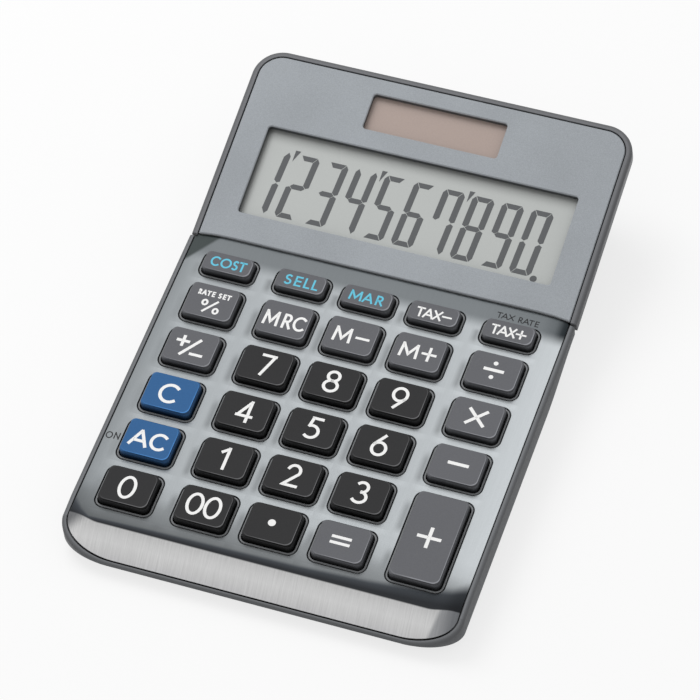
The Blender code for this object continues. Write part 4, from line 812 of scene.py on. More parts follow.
def painted_light_behind_crease(tree, x, along):
    """Painted reflections and shade of the plate behind the crease: its middle, the head's shade, and the
    dark front band.
    """
    middle = tones(tree, x, [(place, cool(tone)) for place, tone in MIDDLE_TONES])
    shade = tones(tree, x, [(place, cool(tone)) for place, tone in SHADE_TONES])
    tone = mixed(tree, rising(tree, along, *HEAD_SHADE), middle, shade)
    wedge = calc(tree, "ADD", calc(tree, "MULTIPLY_ADD", x, WEDGE_LEAN, WEDGE_SHIFT), along)
    tone = mixed(tree, rising(tree, wedge, *WEDGE_EDGE), tone, WEDGE_TONE)
    front = tones(tree, along, [(place, paint(grey, grey, grey)) for place, grey in FRONT_TONES])
    tone = mixed(tree, 1.0, tone, front, "MULTIPLY")
    tone = mixed(tree, 1.0, tone, painted_key_reflections(tree, x, along), "MULTIPLY")
    reach = tones(tree, x, [(place, (share, share, share, 1)) for place, share in BAND_REACH])
    share = calc(tree, "DIVIDE", along, calc(tree, "MULTIPLY", reach, BAND_UNIT))
    band = mixed(tree, 1.0, tones(tree, share, BAND_REFLECTION_TONES), spread(tree, x, *BAND_DIM), "MULTIPLY")
    return mixed(tree, falling(tree, share, *BAND_FADE), tone, band)


def painted_light_on_strip(tree, x, along):
    """Painted reflections on the strip in front of the crease, darker at both ends along slanted lines."""
    strip = tones(tree, along, STRIP_TONES)
    left_end = falling(tree, calc(tree, "MULTIPLY_ADD", along, LEFT_LEAN, x), *LEFT_EDGE)
    strip = mixed(tree, left_end, strip, LEFT_TONE)
    right_end = rising(tree, calc(tree, "MULTIPLY_ADD", along, RIGHT_LEAN, x), *RIGHT_EDGE)
    corner = mixed(tree, rising(tree, x, *RIGHT_RUN), *RIGHT_TONES)
    return mixed(tree, right_end, strip, corner)


def brushed():
    """Brushed sheet: fine long streaks in tone, gloss and relief over the broad painted light of a bent
    plate.

    The plate's tones are painted reflections and shade: lightest in its middle and to the right, darker in
    the head's shade, nearly black just behind the crease, where it mirrors the dark keys, and light again on
    its front strip.
    """
    material, tree, shader = new_material("brushed_metal", {"Metallic": 1.0})
    place = put(tree, "TexCoord").outputs["Object"]
    stretched = put(tree, "Mapping", {"Vector": place, "Scale": STREAK_SCALE}).outputs["Vector"]
    streaks = {"Vector": stretched, "Scale": 1.0, "Detail": 4.0, "Roughness": 0.7}
    streaks = put(tree, "TexNoise", streaks).outputs["Fac"]
    axes = put(tree, "SeparateXYZ", {"Vector": place}).outputs
    x = axes["X"]
    along = calc(tree, "MULTIPLY_ADD", axes["Y"], 1 / cos(DECK_TILT), -CREASE_Y / cos(DECK_TILT))
    curl = spread(tree, calc(tree, "ABSOLUTE", x), *CREASE_TURN)
    before_crease = falling(tree, calc(tree, "ADD", along, curl), *CREASE_FADE)
    tone = mixed(tree, before_crease, painted_light_behind_crease(tree, x, along), painted_light_on_strip(tree, x, along))
    strength = spread(tree, before_crease, *STREAK_STRENGTH, 0.0, 1.0)
    line = calc(tree, "MULTIPLY_ADD", calc(tree, "SUBTRACT", streaks, 0.5), strength, 1.0)
    bump = put(tree, "Bump", {"Distance": STREAK_DEPTH, "Height": streaks})
    feed(tree, shader, {"Base Color": mixed(tree, 1.0, tone, line, "MULTIPLY"),
                        "Roughness": spread(tree, streaks, *STREAK_GLOSS), "Normal": bump.outputs["Normal"]})
    return material


plate_half = PLATE_HALF - PLATE_CHAMFER
plate_sheet = keypad_sheet(PLATE_CHAMFER, plate_half, front_rows(plate_half, PLATE_REACH - PLATE_CHAMFER),
                           [(CASE_REAR, plate_half), (PLATE_REAR, PLATE_REAR_HALF)])
plate_edge = [(PLATE_CHAMFER, PLATE_CHAMFER)]
plate_mesh = sheet_solid("faceplate_sheet", *plate_sheet, PLATE_THICKNESS, bent, plate_edge)
place_piece("faceplate_sheet", plate_mesh, brushed(), "case", "keypad_faceplate", "keypad_faceplate")


# Keypad mat. A sheet of silicone rubber lies on the board under the deck, with a hollow dome under the
# middle of every key; a pressed key buckles its dome down to a low pad, which then pushes it up again.
MAT_TOP = -0.0049
MAT_CUT = 0.00002
DOME_SECTION = ((0.0, 0.0), (3.26, 0.0), (2.98, 0.10), (2.72, 0.30), (2.50, 0.55), (2.32, 0.80), (2.20, 0.98),
                (2.10, 1.08), (2.00, 1.15), (1.85, 1.19), (1.70, 1.20), (0.0, 1.20))
DOME_STEPS = 28
DECK_NORMAL = (0.0, -sin(DECK_TILT), cos(DECK_TILT))
MILLIMETRE = 0.001


def circle(steps):
    """Cosines and sines of even steps round a circle, for places by step and axis."""
    turn = np.linspace(0, 2 * pi, steps + 1)[:-1]
    return np.stack([np.cos(turn), np.sin(turn)], axis=-1)


def flat_mat():
    """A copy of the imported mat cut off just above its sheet, with the round holes of the domes closed."""
    mesh = packed_copy("keypad_mat")
    shape = bmesh.new()
    shape.from_mesh(mesh)
    bmesh.ops.remove_doubles(shape, verts=shape.verts, dist=WELD)
    cut = {"plane_co": deck(0.0, 0.0, MAT_TOP + MAT_CUT).tolist(), "plane_no": DECK_NORMAL, "dist": WELD}
    everything = shape.verts[:] + shape.edges[:] + shape.faces[:]
    bmesh.ops.bisect_plane(shape, geom=everything, clear_outer=True, **cut)
    bmesh.ops.holes_fill(shape, edges=shape.edges[:], sides=0)
    shape.to_mesh(mesh)
    shape.free()
    tidy_mesh(mesh, CRISP)
    return mesh


def dome_mesh(name):
    """A dome: its section, in millimetres from the axis and above the sheet, turned round its axis."""
    x, along, _ = KEYS[name]
    radius, level = np.array(DOME_SECTION).T[..., None] * MILLIMETRE
    across, up = circle(DOME_STEPS).T
    points = deck(x + radius * across, along + radius * up, MAT_TOP + level)
    return new_mesh(f"{name}_dome", points, grid_faces(len(DOME_SECTION), DOME_STEPS, round_columns=True))


silicone = moulded("mat_silicone", (150, 150, 147), roughness=0.75)
place_piece("keypad_mat_sheet", flat_mat(), silicone, "case", "keypad_mat", "keypad_mat")
for name, (x, along, _) in KEYS.items():
    dome = place_piece(f"{name}_dome", dome_mesh(name), silicone, "case", "keypad_mat", "keypad_mat")
    foot = deck(x, along, MAT_TOP).tolist()
    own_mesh(dome)


# Keys. Each is a moulded ABS cap with upright walls, a softly rounded top edge and a slightly hollow
# top; a flange under the deck holds it in, and a rubber dome pushes it up.
# The caps get painted light: painted shade down their walls, a painted glint along their top edges and a
# painted dark line under them.
KEY_CLEARANCE = 0.00105
KEY_FLANGE = 0.0008
KEY_FLANGE_TOP = 0.0026
KEY_FLANGE_BOTTOM = 0.0034
KEY_HEIGHT = 0.0025
KEY_EDGE = 0.00020
KEY_EDGE_DROP = 0.00026
KEY_TOP_ROUNDING = 0.0006
KEY_GLINT = 0.00013
KEY_LEAN = -0.00017
KEY_SIDE_DRAFT = 0.0002
KEY_END_DRAFT = 0.00015
KEY_DISH = 0.00006
KEY_CORNER_RADIUS = KEY_CORNER - KEY_CLEARANCE
TOP_SHARES = (0.9, 0.7, 0.4, 0.0)
GLINT_FACING = (0.9, -0.9)
GLINT_BASE = 0.1
UNDER_EDGE_PAINTED_SHADE = -0.35
KEY_WALL_LIGHT = (0.12, 1.0, 0.0003, 0.0024)
BLACK_KEYS = {"key_0", "key_00", "key_point"} | {f"key_{digit}" for digit in range(1, 10)}
BLUE_KEYS = {"key_c", "key_ac"}


def key_mesh(name):
    """A key cap: rings of one rounded outline from the flange up the drafted wall and over the edge.

    The wall leans in by a share of its drafts, the edge is a flat bevel that grows wider round the
    corners, and the top's rings shrink to the middle while they sink by the square of the way in. The
    mark glint is a painted highlight on the thin line where the top meets its bevel, at the front and at
    the right, with painted shade just under the bevel.
    """
    x, along, depth = KEYS[name]
    half = np.array([KEY_WIDTH, depth]) / 2 - KEY_CLEARANCE
    bevel = KEY_HEIGHT - KEY_EDGE_DROP
    steps = [
        (-KEY_FLANGE, 0, -KEY_FLANGE_BOTTOM, 0, 0), (-KEY_FLANGE, 0, -KEY_FLANGE_TOP, 0, 0),
        (0, 0, -KEY_FLANGE_TOP, 0, 0), (0, 0, 0, 0, 0), (0, 0.85, bevel - KEY_EDGE_DROP, 0, 0),
        (0, 1, bevel, 0, UNDER_EDGE_PAINTED_SHADE),
        (KEY_EDGE - KEY_GLINT, 1, KEY_HEIGHT - KEY_GLINT, 0.85 * KEY_TOP_ROUNDING, UNDER_EDGE_PAINTED_SHADE),
        (KEY_EDGE, 1, KEY_HEIGHT, KEY_TOP_ROUNDING, 1)]
    plans, levels, glints = [], [], []
    for inset, lean, level, rounding, glint in steps:
        size = 2 * (half - inset - lean * np.array([KEY_SIDE_DRAFT, KEY_END_DRAFT]))
        radius = KEY_CORNER_RADIUS - min(inset, 0) - lean * KEY_SIDE_DRAFT + rounding
        plans.append(outline(*size, radius, (0, lean * KEY_LEAN), (SIDE_INTERVALS,) * 4))
        levels.append(level)
        glints.append(glint)
    top = plans[-1]
    for share in (1 - KEY_GLINT / half.min(), *TOP_SHARES):
        plans.append(top * share + (0, (1 - share) * KEY_LEAN))
        levels.append(KEY_HEIGHT - KEY_DISH * (1 - share ** 2))
        glints.append(0)
    plan = np.stack([plans[0] * 0] + plans)
    levels = np.array([levels[0]] + levels)[:, None]
    facing = np.clip(GLINT_BASE + (top / half) @ GLINT_FACING, 0, 1)
    points = deck(x + plan[..., 0], along + plan[..., 1], levels)
    return new_mesh(f"{name}_cap", points, grid_faces(len(levels), len(top), round_columns=True),
                    glint=np.array([0] + glints)[:, None] * facing)


def height_above(tree, y, z, tilt):
    """Height straight up from a plane that is turned back by a tilt about the line at y and z."""
    axes = put(tree, "SeparateXYZ", {"Vector": put(tree, "TexCoord").outputs["Object"]}).outputs
    slope = calc(tree, "MULTIPLY_ADD", axes["Y"], -tan(tilt), float(y * tan(tilt) - z))
    return calc(tree, "ADD", axes["Z"], slope)


def key_light_group():
    """Painted light on a cap: painted shade down its walls, where the well keeps light away, and a painted
    highlight on its glint.
    """
    tree, given, result = start_group("key_light", {"Shine": "Float"}, {"Share": "Float"})
    height = height_above(tree, CREASE_Y, CREASE_HEIGHT, DECK_TILT)
    lit = spread(tree, height, *KEY_WALL_LIGHT)
    glint = put(tree, "Attribute", attribute_name="glint").outputs["Fac"]
    feed(tree, result, {"Share": calc(tree, "MULTIPLY_ADD", glint, given["Shine"], lit)})
    return tree


key_light = key_light_group()


def key_finish(name, colour, shine):
    """The caps' plastic, with painted shade and a painted glint from the keys' own group."""
    material = moulded(name, colour, roughness=0.40, contrast=0.05, specular=0.14)
    share = put(material.node_tree, "Group", {"Shine": shine}, node_tree=key_light).outputs["Share"]
    return multiplied(material, share)


CAP_FINISHES = {"black_keys": key_finish("black_abs", (51, 51, 52), 6.0),
                "grey_keys": key_finish("grey_abs", (105, 106, 110), 1.8),
                "blue_keys": key_finish("blue_abs", (57, 102, 152), 1.8)}
KEY_SLOTS = {name: "black_keys" if name in BLACK_KEYS else "blue_keys" if name in BLUE_KEYS else "grey_keys"
             for name in KEYS}
for name, slot in KEY_SLOTS.items():
    place_piece(f"{name}_cap", key_mesh(name), CAP_FINISHES[slot], name, slot, name)


# Legends. The signs on the caps are printed in one even stroke, white on most of them and pale blue on
# three keys of the rear row; two more words stand in dark grey on the faceplate.
LEGEND_LIFT = 0.000012
LEGEND_SINK = 0.00004
INK_DEPTH = 0.000002
STROKE_STEP = 0.4
ARC_STEP = 9
DOT_STEPS = 32


def arc(x, y, wide, high, start, end):
    """Points on an ellipse from one angle to another, in degrees."""
    turn = np.radians(np.linspace(start, end, 3 + int(abs(end - start) / ARC_STEP)))
    return list(zip((x + wide * np.cos(turn)).tolist(), (y + high * np.sin(turn)).tolist()))


RING = [arc(0.5, 0.5, 0.5, 0.5, 90, 450)]
STROKES = {
    "0": RING,
    "1": [[(0.06, 0.80), (0.86, 0.97)], [(1, 1), (1, 0)]],
    "2": [arc(0.50, 0.73, 0.44, 0.27, 160, -28) + [(0.03, 0), (1, 0)]],
    "3": [arc(0.48, 0.76, 0.41, 0.24, 138, -80), arc(0.47, 0.27, 0.51, 0.27, 80, -138)],
    "4": [[(0.74, 0), (0.74, 1)], [(0.68, 0.95), (0.10, 0.33)], [(0, 0.27), (1, 0.27)]],
    "5": [[(0.96, 1), (0.28, 1)], [(0.29, 0.97), (0.18, 0.60)], arc(0.42, 0.31, 0.54, 0.31, 112, -128)],
    "6": [arc(0.5, 0.32, 0.5, 0.32, 90, 450), [(0.68, 1), (0.12, 0.54)]],
    "7": [[(0, 1), (1, 1)], [(0.93, 0.95), (0.28, 0)]],
    "8": [arc(0.5, 0.765, 0.42, 0.235, 90, 450), arc(0.5, 0.27, 0.5, 0.27, 90, 450)],
    "9": [arc(0.5, 0.68, 0.5, 0.32, 90, 450), [(0.32, 0), (0.88, 0.46)]],
    "A": [[(0, 0), (0.48, 1)], [(0.52, 1), (1, 0)], [(0.26, 0.31), (0.74, 0.31)]],
    "C": [arc(0.58, 0.5, 0.58, 0.5, 50, 310)],
    "E": [[(1, 1), (0, 1), (0, 0), (1, 0)], [(0, 0.52), (0.88, 0.52)]],
    "L": [[(0, 1), (0, 0), (1, 0)]],
    "M": [[(0, 0), (0.06, 1)], [(0.12, 0.90), (0.5, 0.18), (0.88, 0.90)], [(0.94, 1), (1, 0)]],
    "N": [[(0, 0), (0, 1)], [(0.05, 0.93), (0.95, 0.07)], [(1, 0), (1, 1)]],
    "O": RING,
    "R": [[(0, 0), (0, 1), (0.45, 1)] + arc(0.45, 0.735, 0.42, 0.265, 85, -85) + [(0.45, 0.47), (0.06, 0.47)],
          [(0.48, 0.43), (1, 0)]],
    "S": [arc(0.52, 0.76, 0.42, 0.24, 48, 240) + arc(0.47, 0.255, 0.47, 0.255, 62, -135)],
    "T": [[(0, 1), (1, 1)], [(0.5, 0.96), (0.5, 0)]],
    "X": [[(0, 0), (1, 1)], [(0, 1), (1, 0)]],
    "-": [[(0, 0.5), (1, 0.5)]],
    "+": [[(0, 0.5), (1, 0.5)], [(0.5, 0), (0.5, 1)]],
    "/": [[(0, 0), (1, 1)]],
}


def split_stroke(points):
    """A path with more points on its long straight parts, and whether it closes on itself."""
    points = np.array(points)
    closed = len(points) > 20 and np.allclose(points[0], points[-1])
    fine = []
    for start, end in zip(points, points[1:]):
        steps = max(1, int(np.ceil(np.linalg.norm(end - start) / STROKE_STEP)))
        fine.append(start + (end - start) * (np.arange(steps) / steps)[:, None])
    return np.concatenate(fine if closed else fine + [points[-1:]]), closed


def stroke_surface(points, weight, top):
    """A flat ribbon of even width carried along a path, a little above and below the printed surface.

    At each point it is as wide as the stroke square to the mean direction there, with sharp turns mitred;
    open ends run on by half the width.
    """
    plan, closed = split_stroke(points)
    ahead = np.roll(plan, -1, axis=0) - plan
    if not closed:
        ahead[-1] = ahead[-2]
    ahead /= np.linalg.norm(ahead, axis=1)[:, None]
    behind = np.roll(ahead, 1, axis=0)
    if not closed:
        behind[0] = ahead[0]
        plan[0] -= ahead[0] * weight / 2
        plan[-1] += ahead[-1] * weight / 2
    mean = ahead + behind
    mean /= np.linalg.norm(mean, axis=1)[:, None]
    mitre = weight / 2 / np.clip((mean * ahead).sum(axis=1), 0.5, 1)[:, None]
    side = np.stack([-mean[:, 1], mean[:, 0]], axis=-1) * mitre
    section = np.stack([plan + side, plan - side, plan - side, plan + side], axis=1)
    lifts = np.array([-LEGEND_SINK, -LEGEND_SINK, LEGEND_LIFT, LEGEND_LIFT])
    return carried(top(section[..., 0], section[..., 1], lifts), closed)


def dot_surface(x, y, radius, top):
    """A round printed dot as a thin disc."""
    plan = (x, y) + radius * circle(DOT_STEPS)
    return carried(np.stack([top(plan[:, 0], plan[:, 1], lift) for lift in (-LEGEND_SINK, LEGEND_LIFT)]))


def sign_surfaces(sign, left, right, low, high, weight, top):
    """The strokes of one sign, drawn so that their outer edges fill the box that its four sides give."""
    origin = np.array([left + weight / 2, low + weight / 2])
    size = np.array([max(right - left - weight, 0), max(high - low - weight, 0)])
    return [stroke_surface(origin + np.array(path) * size, weight, top) for path in STROKES[sign]]


def cap_top(name):
    """World points of places on a key's hollow top, given from the middle of its hole."""
    x, along, depth = KEYS[name]
    inset = np.array([KEY_SIDE_DRAFT + KEY_EDGE, KEY_END_DRAFT + KEY_EDGE])
    half = np.array([KEY_WIDTH, depth]) / 2 - KEY_CLEARANCE - inset

    def top(across, up, lift):
        share = np.clip(np.maximum(np.abs(across) / half[0], np.abs(up - KEY_LEAN) / half[1]), 0, 1)
        return deck(x + across, along + up, KEY_HEIGHT - KEY_DISH * (1 - share ** 2) + lift)
    return top


# Each word has its signs, their left and right sides in turn, its bottom, its top and its weight, all in
# millimetres from the middle of the key's hole, or on the faceplate from the middle of the crease.
LEGENDS = {
    "key_0": [("0", (-2.45, 2.15), -3.85, 3.0, 0.80)],
    "key_00": [("00", (-4.6, -0.12, 0.02, 4.5), -3.4, 3.2, 0.80)],
    "key_1": [("1", (-1.5, 0.85), -3.55, 3.2, 0.80)],
    "key_2": [("2", (-2.2, 2.1), -3.5, 3.3, 0.80)],
    "key_3": [("3", (-2.3, 2.0), -3.4, 3.35, 0.80)],
    "key_4": [("4", (-2.15, 2.4), -3.5, 3.2, 0.80)],
    "key_5": [("5", (-1.95, 2.25), -3.4, 3.3, 0.80)],
    "key_6": [("6", (-2.35, 1.95), -3.5, 3.2, 0.80)],
    "key_7": [("7", (-1.6, 2.35), -3.5, 3.2, 0.80)],
    "key_8": [("8", (-2.15, 2.15), -3.5, 3.3, 0.80)],
    "key_9": [("9", (-2.3, 2.05), -3.5, 3.3, 0.80)],
    "key_equals": [("-", (-2.85, 2.25), 0.5, 1.3, 0.80), ("-", (-2.85, 2.25), -1.2, -0.4, 0.80)],
    "key_plus": [("+", (-3.0, 3.15), -3.35, 2.75, 0.90)],
    "key_minus": [("-", (-2.5, 2.9), -0.45, 0.45, 0.90)],
    "key_times": [("X", (-2.35, 2.75), -2.65, 2.4, 0.85)],
    "key_divide": [("-", (-2.75, 2.55), -0.45, 0.45, 0.90)],
    "key_memory_minus": [("M", (-4.6, 0.2), -2.6, 2.0, 0.70), ("-", (1.2, 4.9), -0.7, 0.05, 0.70)],
    "key_memory_plus": [("M", (-4.85, 0.05), -2.4, 2.05, 0.70), ("+", (0.85, 4.75), -2.3, 2.05, 0.70)],
    "key_mrc": [("MRC", (-5.4, -1.35, -0.35, 2.15, 2.4, 5.75), -2.8, 1.8, 0.68)],
    "key_percent": [("O", (-2.4, -0.6), -1.75, 0.3, 0.55), ("O", (1.1, 2.9), -3.8, -1.72, 0.55),
                    ("/", (-1.5, 2.0), -3.75, 0.4, 0.58),
                    ("RATESET", (-4.2, -3.35, -3.25, -1.95, -1.95, -0.8, -0.55, 0.3, 1.1, 2.1, 2.4, 3.25,
                                 3.4, 4.6), 1.35, 3.0, 0.36)],
    "key_sign": [("+", (-4.3, -0.75), -0.6, 2.85, 0.80), ("/", (-2.4, 2.15), -3.3, 2.6, 0.80),
                 ("-", (0.2, 3.75), -2.7, -1.9, 0.80)],
    "key_c": [("C", (-2.95, 2.2), -3.5, 2.5, 0.85)],
    "key_ac": [("A", (-5.0, 0.0), -2.95, 2.0, 0.82), ("C", (0.2, 4.6), -3.05, 2.2, 0.82)],
    "key_cost": [("COST", (-4.65, -2.2, -2.0, 0.95, 1.15, 2.85, 2.9, 4.9), -1.75, 1.35, 0.50)],
    "key_sell": [("SELL", (-4.4, -2.3, -1.6, 0.3, 0.95, 2.65, 3.15, 4.8), -1.95, 1.25, 0.50)],
    "key_margin": [("MAR", (-4.65, -1.3, -1.1, 1.75, 2.4, 4.4), -1.85, 1.25, 0.50)],
    "key_tax_minus": [("TAX", (-4.6, -2.45, -2.7, 0.1, -0.1, 2.2), -2.05, 1.0, 0.50),
                      ("-", (2.2, 4.8), -0.68, -0.18, 0.50)],
    "key_tax_plus": [("TAX", (-4.75, -2.65, -2.9, -0.1, -0.35, 1.85), -1.85, 1.2, 0.50),
                     ("+", (1.8, 4.6), -1.7, 1.1, 0.50)],
}
DOTS = {
    "key_point": [(-0.25, 0.12, 0.98)],
    "key_divide": [(-0.15, 2.1, 0.6), (-0.15, -2.2, 0.6)],
}
PLATE_WORDS = {
    "power_word": [("O", (-50.15, -48.3), 24.25, 26.3, 0.30), ("N", (-47.95, -46.5), 24.45, 26.5, 0.30)],
    "tax_rate_word": [
        ("TAX", (32.0, 33.5, 33.3, 35.1, 35.1, 36.7), 87.35, 89.15, 0.28),
        ("R", (37.8, 38.9), 87.3, 89.1, 0.28), ("A", (39.0, 40.7), 87.25, 89.05, 0.28),
        ("TE", (40.5, 41.9, 42.2, 43.2), 87.2, 89.0, 0.28)],
}
BLUE_LEGENDS = ("key_cost", "key_sell", "key_margin")


def legend_mesh(name, words, dots, top):
    """One mesh of all the signs and dots of a legend, whose table is in millimetres."""
    def scaled(across, up, lift):
        return top(across * MILLIMETRE, up * MILLIMETRE, lift)

    surfaces = []
    for signs, sides, low, high, weight in words:
        for sign, left, right in zip(signs, sides[::2], sides[1::2]):
            surfaces += sign_surfaces(sign, left, right, low, high, weight, scaled)
    surfaces += [dot_surface(x, y, radius, scaled) for x, y, radius in dots]
    return joined(name, surfaces)


white_print = moulded("white_print", (251, 251, 250), roughness=0.5, contrast=0.01, depth=INK_DEPTH)
blue_print = moulded("pale_blue_print", (104, 200, 226), roughness=0.5, contrast=0.02, depth=INK_DEPTH)
for name, slot in KEY_SLOTS.items():
    mesh = legend_mesh(f"{name}_legend", LEGENDS.get(name, []), DOTS.get(name, []), cap_top(name))
    place_piece(f"{name}_legend", mesh, blue_print if name in BLUE_LEGENDS else white_print, name, slot)
dark_print = moulded("dark_print", (38, 39, 41), roughness=0.5, contrast=0.03, depth=INK_DEPTH)
for name, words in PLATE_WORDS.items():
    place_piece(name, legend_mesh(name, words, [], deck), dark_print, "case", "keypad_faceplate")


# Head. The display head's dark moulding: a narrow rounded border round the light panel, the side walls
# down to the parting line, and a thin lip under the panel's lower edge.
HEAD_ALONG = 0.09148
HEAD_LIP = 0.0009
HEAD_TILT = radians(13.8)
HEAD_OFFSET = 0.0004
HEAD_HALF = 0.05195
HEAD_LENGTH = 0.0546
HEAD_BORDER = 0.0016
HEAD_CORNER = 0.0064
HEAD_DEPTH = 0.0037
HEAD_EDGE = 0.0010
HEAD_FRONT = -0.0010
WALL_STEP = -0.0023
TRAY_MARGIN = 0.0022
TRAY_FRONT = 0.006
HEAD_SIDE_POINTS = 12
HEAD_REAR_POINTS = 14
LIP_END = 0.002
LIP_POINTS = 60
LIP_SECTION = ((-0.00005, -0.00050), (-0.00005, -0.00080), (0.0012, -0.00080), (0.0012, -0.00050))
LIP_SWEEP = 0.0010
LIP_SWEEP_WIDTH = 0.010
LCD_WIDTH, LCD_HEIGHT, LCD_START = LCD = (0.0846, 0.02615, 0.00777)
SOLAR_WIDTH, SOLAR_HEIGHT, SOLAR_START = SOLAR = (0.0367, 0.0106, 0.03925)
WINDOW_CORNER = 0.0009
WINDOW_COUNTS = (24, 16, 24, 16)
PANEL_ARCS = 7
GLASS_LEVEL = 0.0019
HEAD_LEDGE = ((1.0, -GLASS_LEVEL), (1.0, -0.00010), (0.95, 0.0))
HEAD_WALL = ((0.0, WALL_STEP), (0.0, -HEAD_DEPTH), (1.0, -HEAD_DEPTH))
FRAME_CATCH = (0.75, 0.15)


def head(x, up, above):
    """World points of places on the head's plane, which starts at the panel's lower edge."""
    origin = deck(np.zeros(1), HEAD_ALONG, HEAD_LIP)[0]
    y = origin[1] + up * cos(HEAD_TILT) - above * sin(HEAD_TILT)
    z = origin[2] + up * sin(HEAD_TILT) + above * cos(HEAD_TILT)
    return np.stack(np.broadcast_arrays(x + HEAD_OFFSET, y, z), axis=-1)


def head_path(half, length, corner):
    """Plan of the head's border from the front right, round the rear corners, to the front left."""
    turn = np.linspace(0, pi / 2, CORNER_POINTS)
    sides = np.linspace(HEAD_FRONT, length - corner, HEAD_SIDE_POINTS)[:-1]
    right = np.concatenate([np.stack([np.full(len(sides), half), sides], axis=-1),
                            np.stack([half - corner + corner * np.cos(turn),
                                      length - corner + corner * np.sin(turn)], axis=-1)])
    across = np.linspace(half - corner, corner - half, HEAD_REAR_POINTS)[1:-1]
    middle = np.stack([across, np.full(len(across), length)], axis=-1)
    return np.concatenate([right, middle, right[::-1] * (-1, 1)])


def head_border():
    """The border of the head: a closed section carried from one front end round to the other."""
    outer = head_path(HEAD_HALF, HEAD_LENGTH + HEAD_BORDER, HEAD_CORNER + HEAD_BORDER)
    inner = head_path(HEAD_HALF - HEAD_BORDER, HEAD_LENGTH, HEAD_CORNER)
    shares, levels = np.concatenate([HEAD_LEDGE, rounding(HEAD_EDGE, HEAD_BORDER), HEAD_WALL]).T
    plan = outer[:, None] + (inner - outer)[:, None] * shares[None, :, None]
    return carried(head(plan[..., 0], plan[..., 1], levels))


def sweep(x):
    """How far the head's lower edge lies forward: by the square of the way into its last centimetre."""
    return LIP_SWEEP * np.clip((np.abs(x) - HEAD_HALF + LIP_SWEEP_WIDTH) / LIP_SWEEP_WIDTH, 0, 1) ** 2


def lip_surface():
    """The lip: a flat bar's section carried along the head's lower edge."""
    x = np.linspace(-HEAD_HALF + LIP_END, HEAD_HALF - LIP_END, LIP_POINTS)[:, None]
    up, level = np.array(LIP_SECTION).T[:, None]
    return carried(head(x, up - sweep(x), level))


def window_sheet(margin, half, length, corner, front):
    """The panel's flat sheet: one cell round each window, meeting half way between them."""
    split = (LCD_START + LCD_HEIGHT + SOLAR_START) / 2
    cells = []
    for (width, height, start), low, high, radii in (
            (LCD, front, split, 0), (SOLAR, split, length, (0, 0, corner, corner))):
        size = (width + 2 * margin, height + 2 * margin)
        hole = outline(*size, WINDOW_CORNER + margin, (0, start + height / 2), WINDOW_COUNTS)
        cell = outline(2 * half, high - low, radii, (0, (low + high) / 2), WINDOW_COUNTS, PANEL_ARCS)
        cells.append(ring_patch(hole, cell))
    return weld_plan(cells)


def sunk_head(x, up, level):
    """World points of the tray under the panel."""
    return head(x, up, level - GLASS_LEVEL)


# The head's border gets painted light too, from the catch numbers across its section: painted highlight on
# its top, painted shade on its ledge and the foot of its walls.
frame_plastic = moulded("frame_plastic", (120, 121, 124), roughness=0.4, specular=0.25)
frame_plastic = edge_lit(frame_plastic, dark=0.42)
frame_rounding = np.linspace(1, 0, ROUNDING_POINTS) ** 3 * FRAME_CATCH[0] + FRAME_CATCH[1]
frame_shares = np.concatenate([[0.2, 0.5, 1.0], frame_rounding, [1.0, 0.0, 0.0]])
frame_mesh = light_from_above("head_border", head_border(), frame_shares)
place_piece("head_border", frame_mesh, frame_plastic, "case", "head_frame", "head_frame")
# The lip is coloured lighter than the head's moulding: painted light in the shaded gap under the panel's
# lower edge.
lip_painted_light = moulded("lip_painted_light", (150, 151, 153), roughness=0.5)
place_piece("head_lip", joined("head_lip", [lip_surface()]), lip_painted_light, "case", "head_frame", "head_frame")
tray = window_sheet(TRAY_MARGIN, HEAD_HALF - HEAD_BORDER, HEAD_LENGTH, HEAD_CORNER, TRAY_FRONT)
tray_mesh = sheet_solid("head_tray", *tray, HEAD_DEPTH - GLASS_LEVEL, sunk_head)
tray_plastic = moulded("tray_plastic", (92, 92, 96), roughness=0.4)
place_piece("head_tray", tray_mesh, tray_plastic, "case", "head_frame", "head_frame")


# Panel. A light grey painted sheet with fine metal flake, laid in the head; its edge and its two windows
# are cut with a small bright bevel.
FIT_GAP = 0.0003
PANEL_THICKNESS = 0.0016
PANEL_CHAMFER = 0.00022
PANEL_CRISP = 20.0
PLATE_TOUCH = 0.00045
PLATE_TOUCH_START = 0.0006
PLATE_FALL = 0.8
PANEL_WALL_LIGHT = (0.16, 1.0, -0.00075, -0.00028)


def swept(x, up, above):
    """Head points whose lower edge sweeps forward towards both ends, and which stay over the faceplate."""
    share = np.clip(1 - up / LCD_START, 0, 1)
    floor = -PLATE_TOUCH - np.maximum(up - PLATE_TOUCH_START, 0) * PLATE_FALL
    return head(x, up - sweep(x) * share, np.maximum(above, floor))


def painted_wall_shade(material):
    """Paint shade onto the cut edges of the panel below its bevel, where the windows' walls lie in shade."""
    _, y, z = head(np.zeros(1), 0, 0)[0]
    height = height_above(material.node_tree, y, z, HEAD_TILT)
    return multiplied(material, spread(material.node_tree, height, *PANEL_WALL_LIGHT))


# The panel's flake paint gets painted shade on its cut edges.
flake = painted_wall_shade(moulded("flake_paint", (160, 165, 170), roughness=0.38, contrast=0.14, scale=3800.0))
panel_half = HEAD_HALF - HEAD_BORDER - FIT_GAP - PANEL_CHAMFER
panel = window_sheet(PANEL_CHAMFER, panel_half, HEAD_LENGTH - FIT_GAP - PANEL_CHAMFER,
                     HEAD_CORNER - FIT_GAP - PANEL_CHAMFER, PANEL_CHAMFER)
panel_edge = [(PANEL_CHAMFER, PANEL_CHAMFER)]
panel_mesh = sheet_solid("display_panel_sheet", *panel, PANEL_THICKNESS, swept, panel_edge, PANEL_CRISP)
place_piece("display_panel_sheet", panel_mesh, flake, "case", "display_panel", "display_panel")


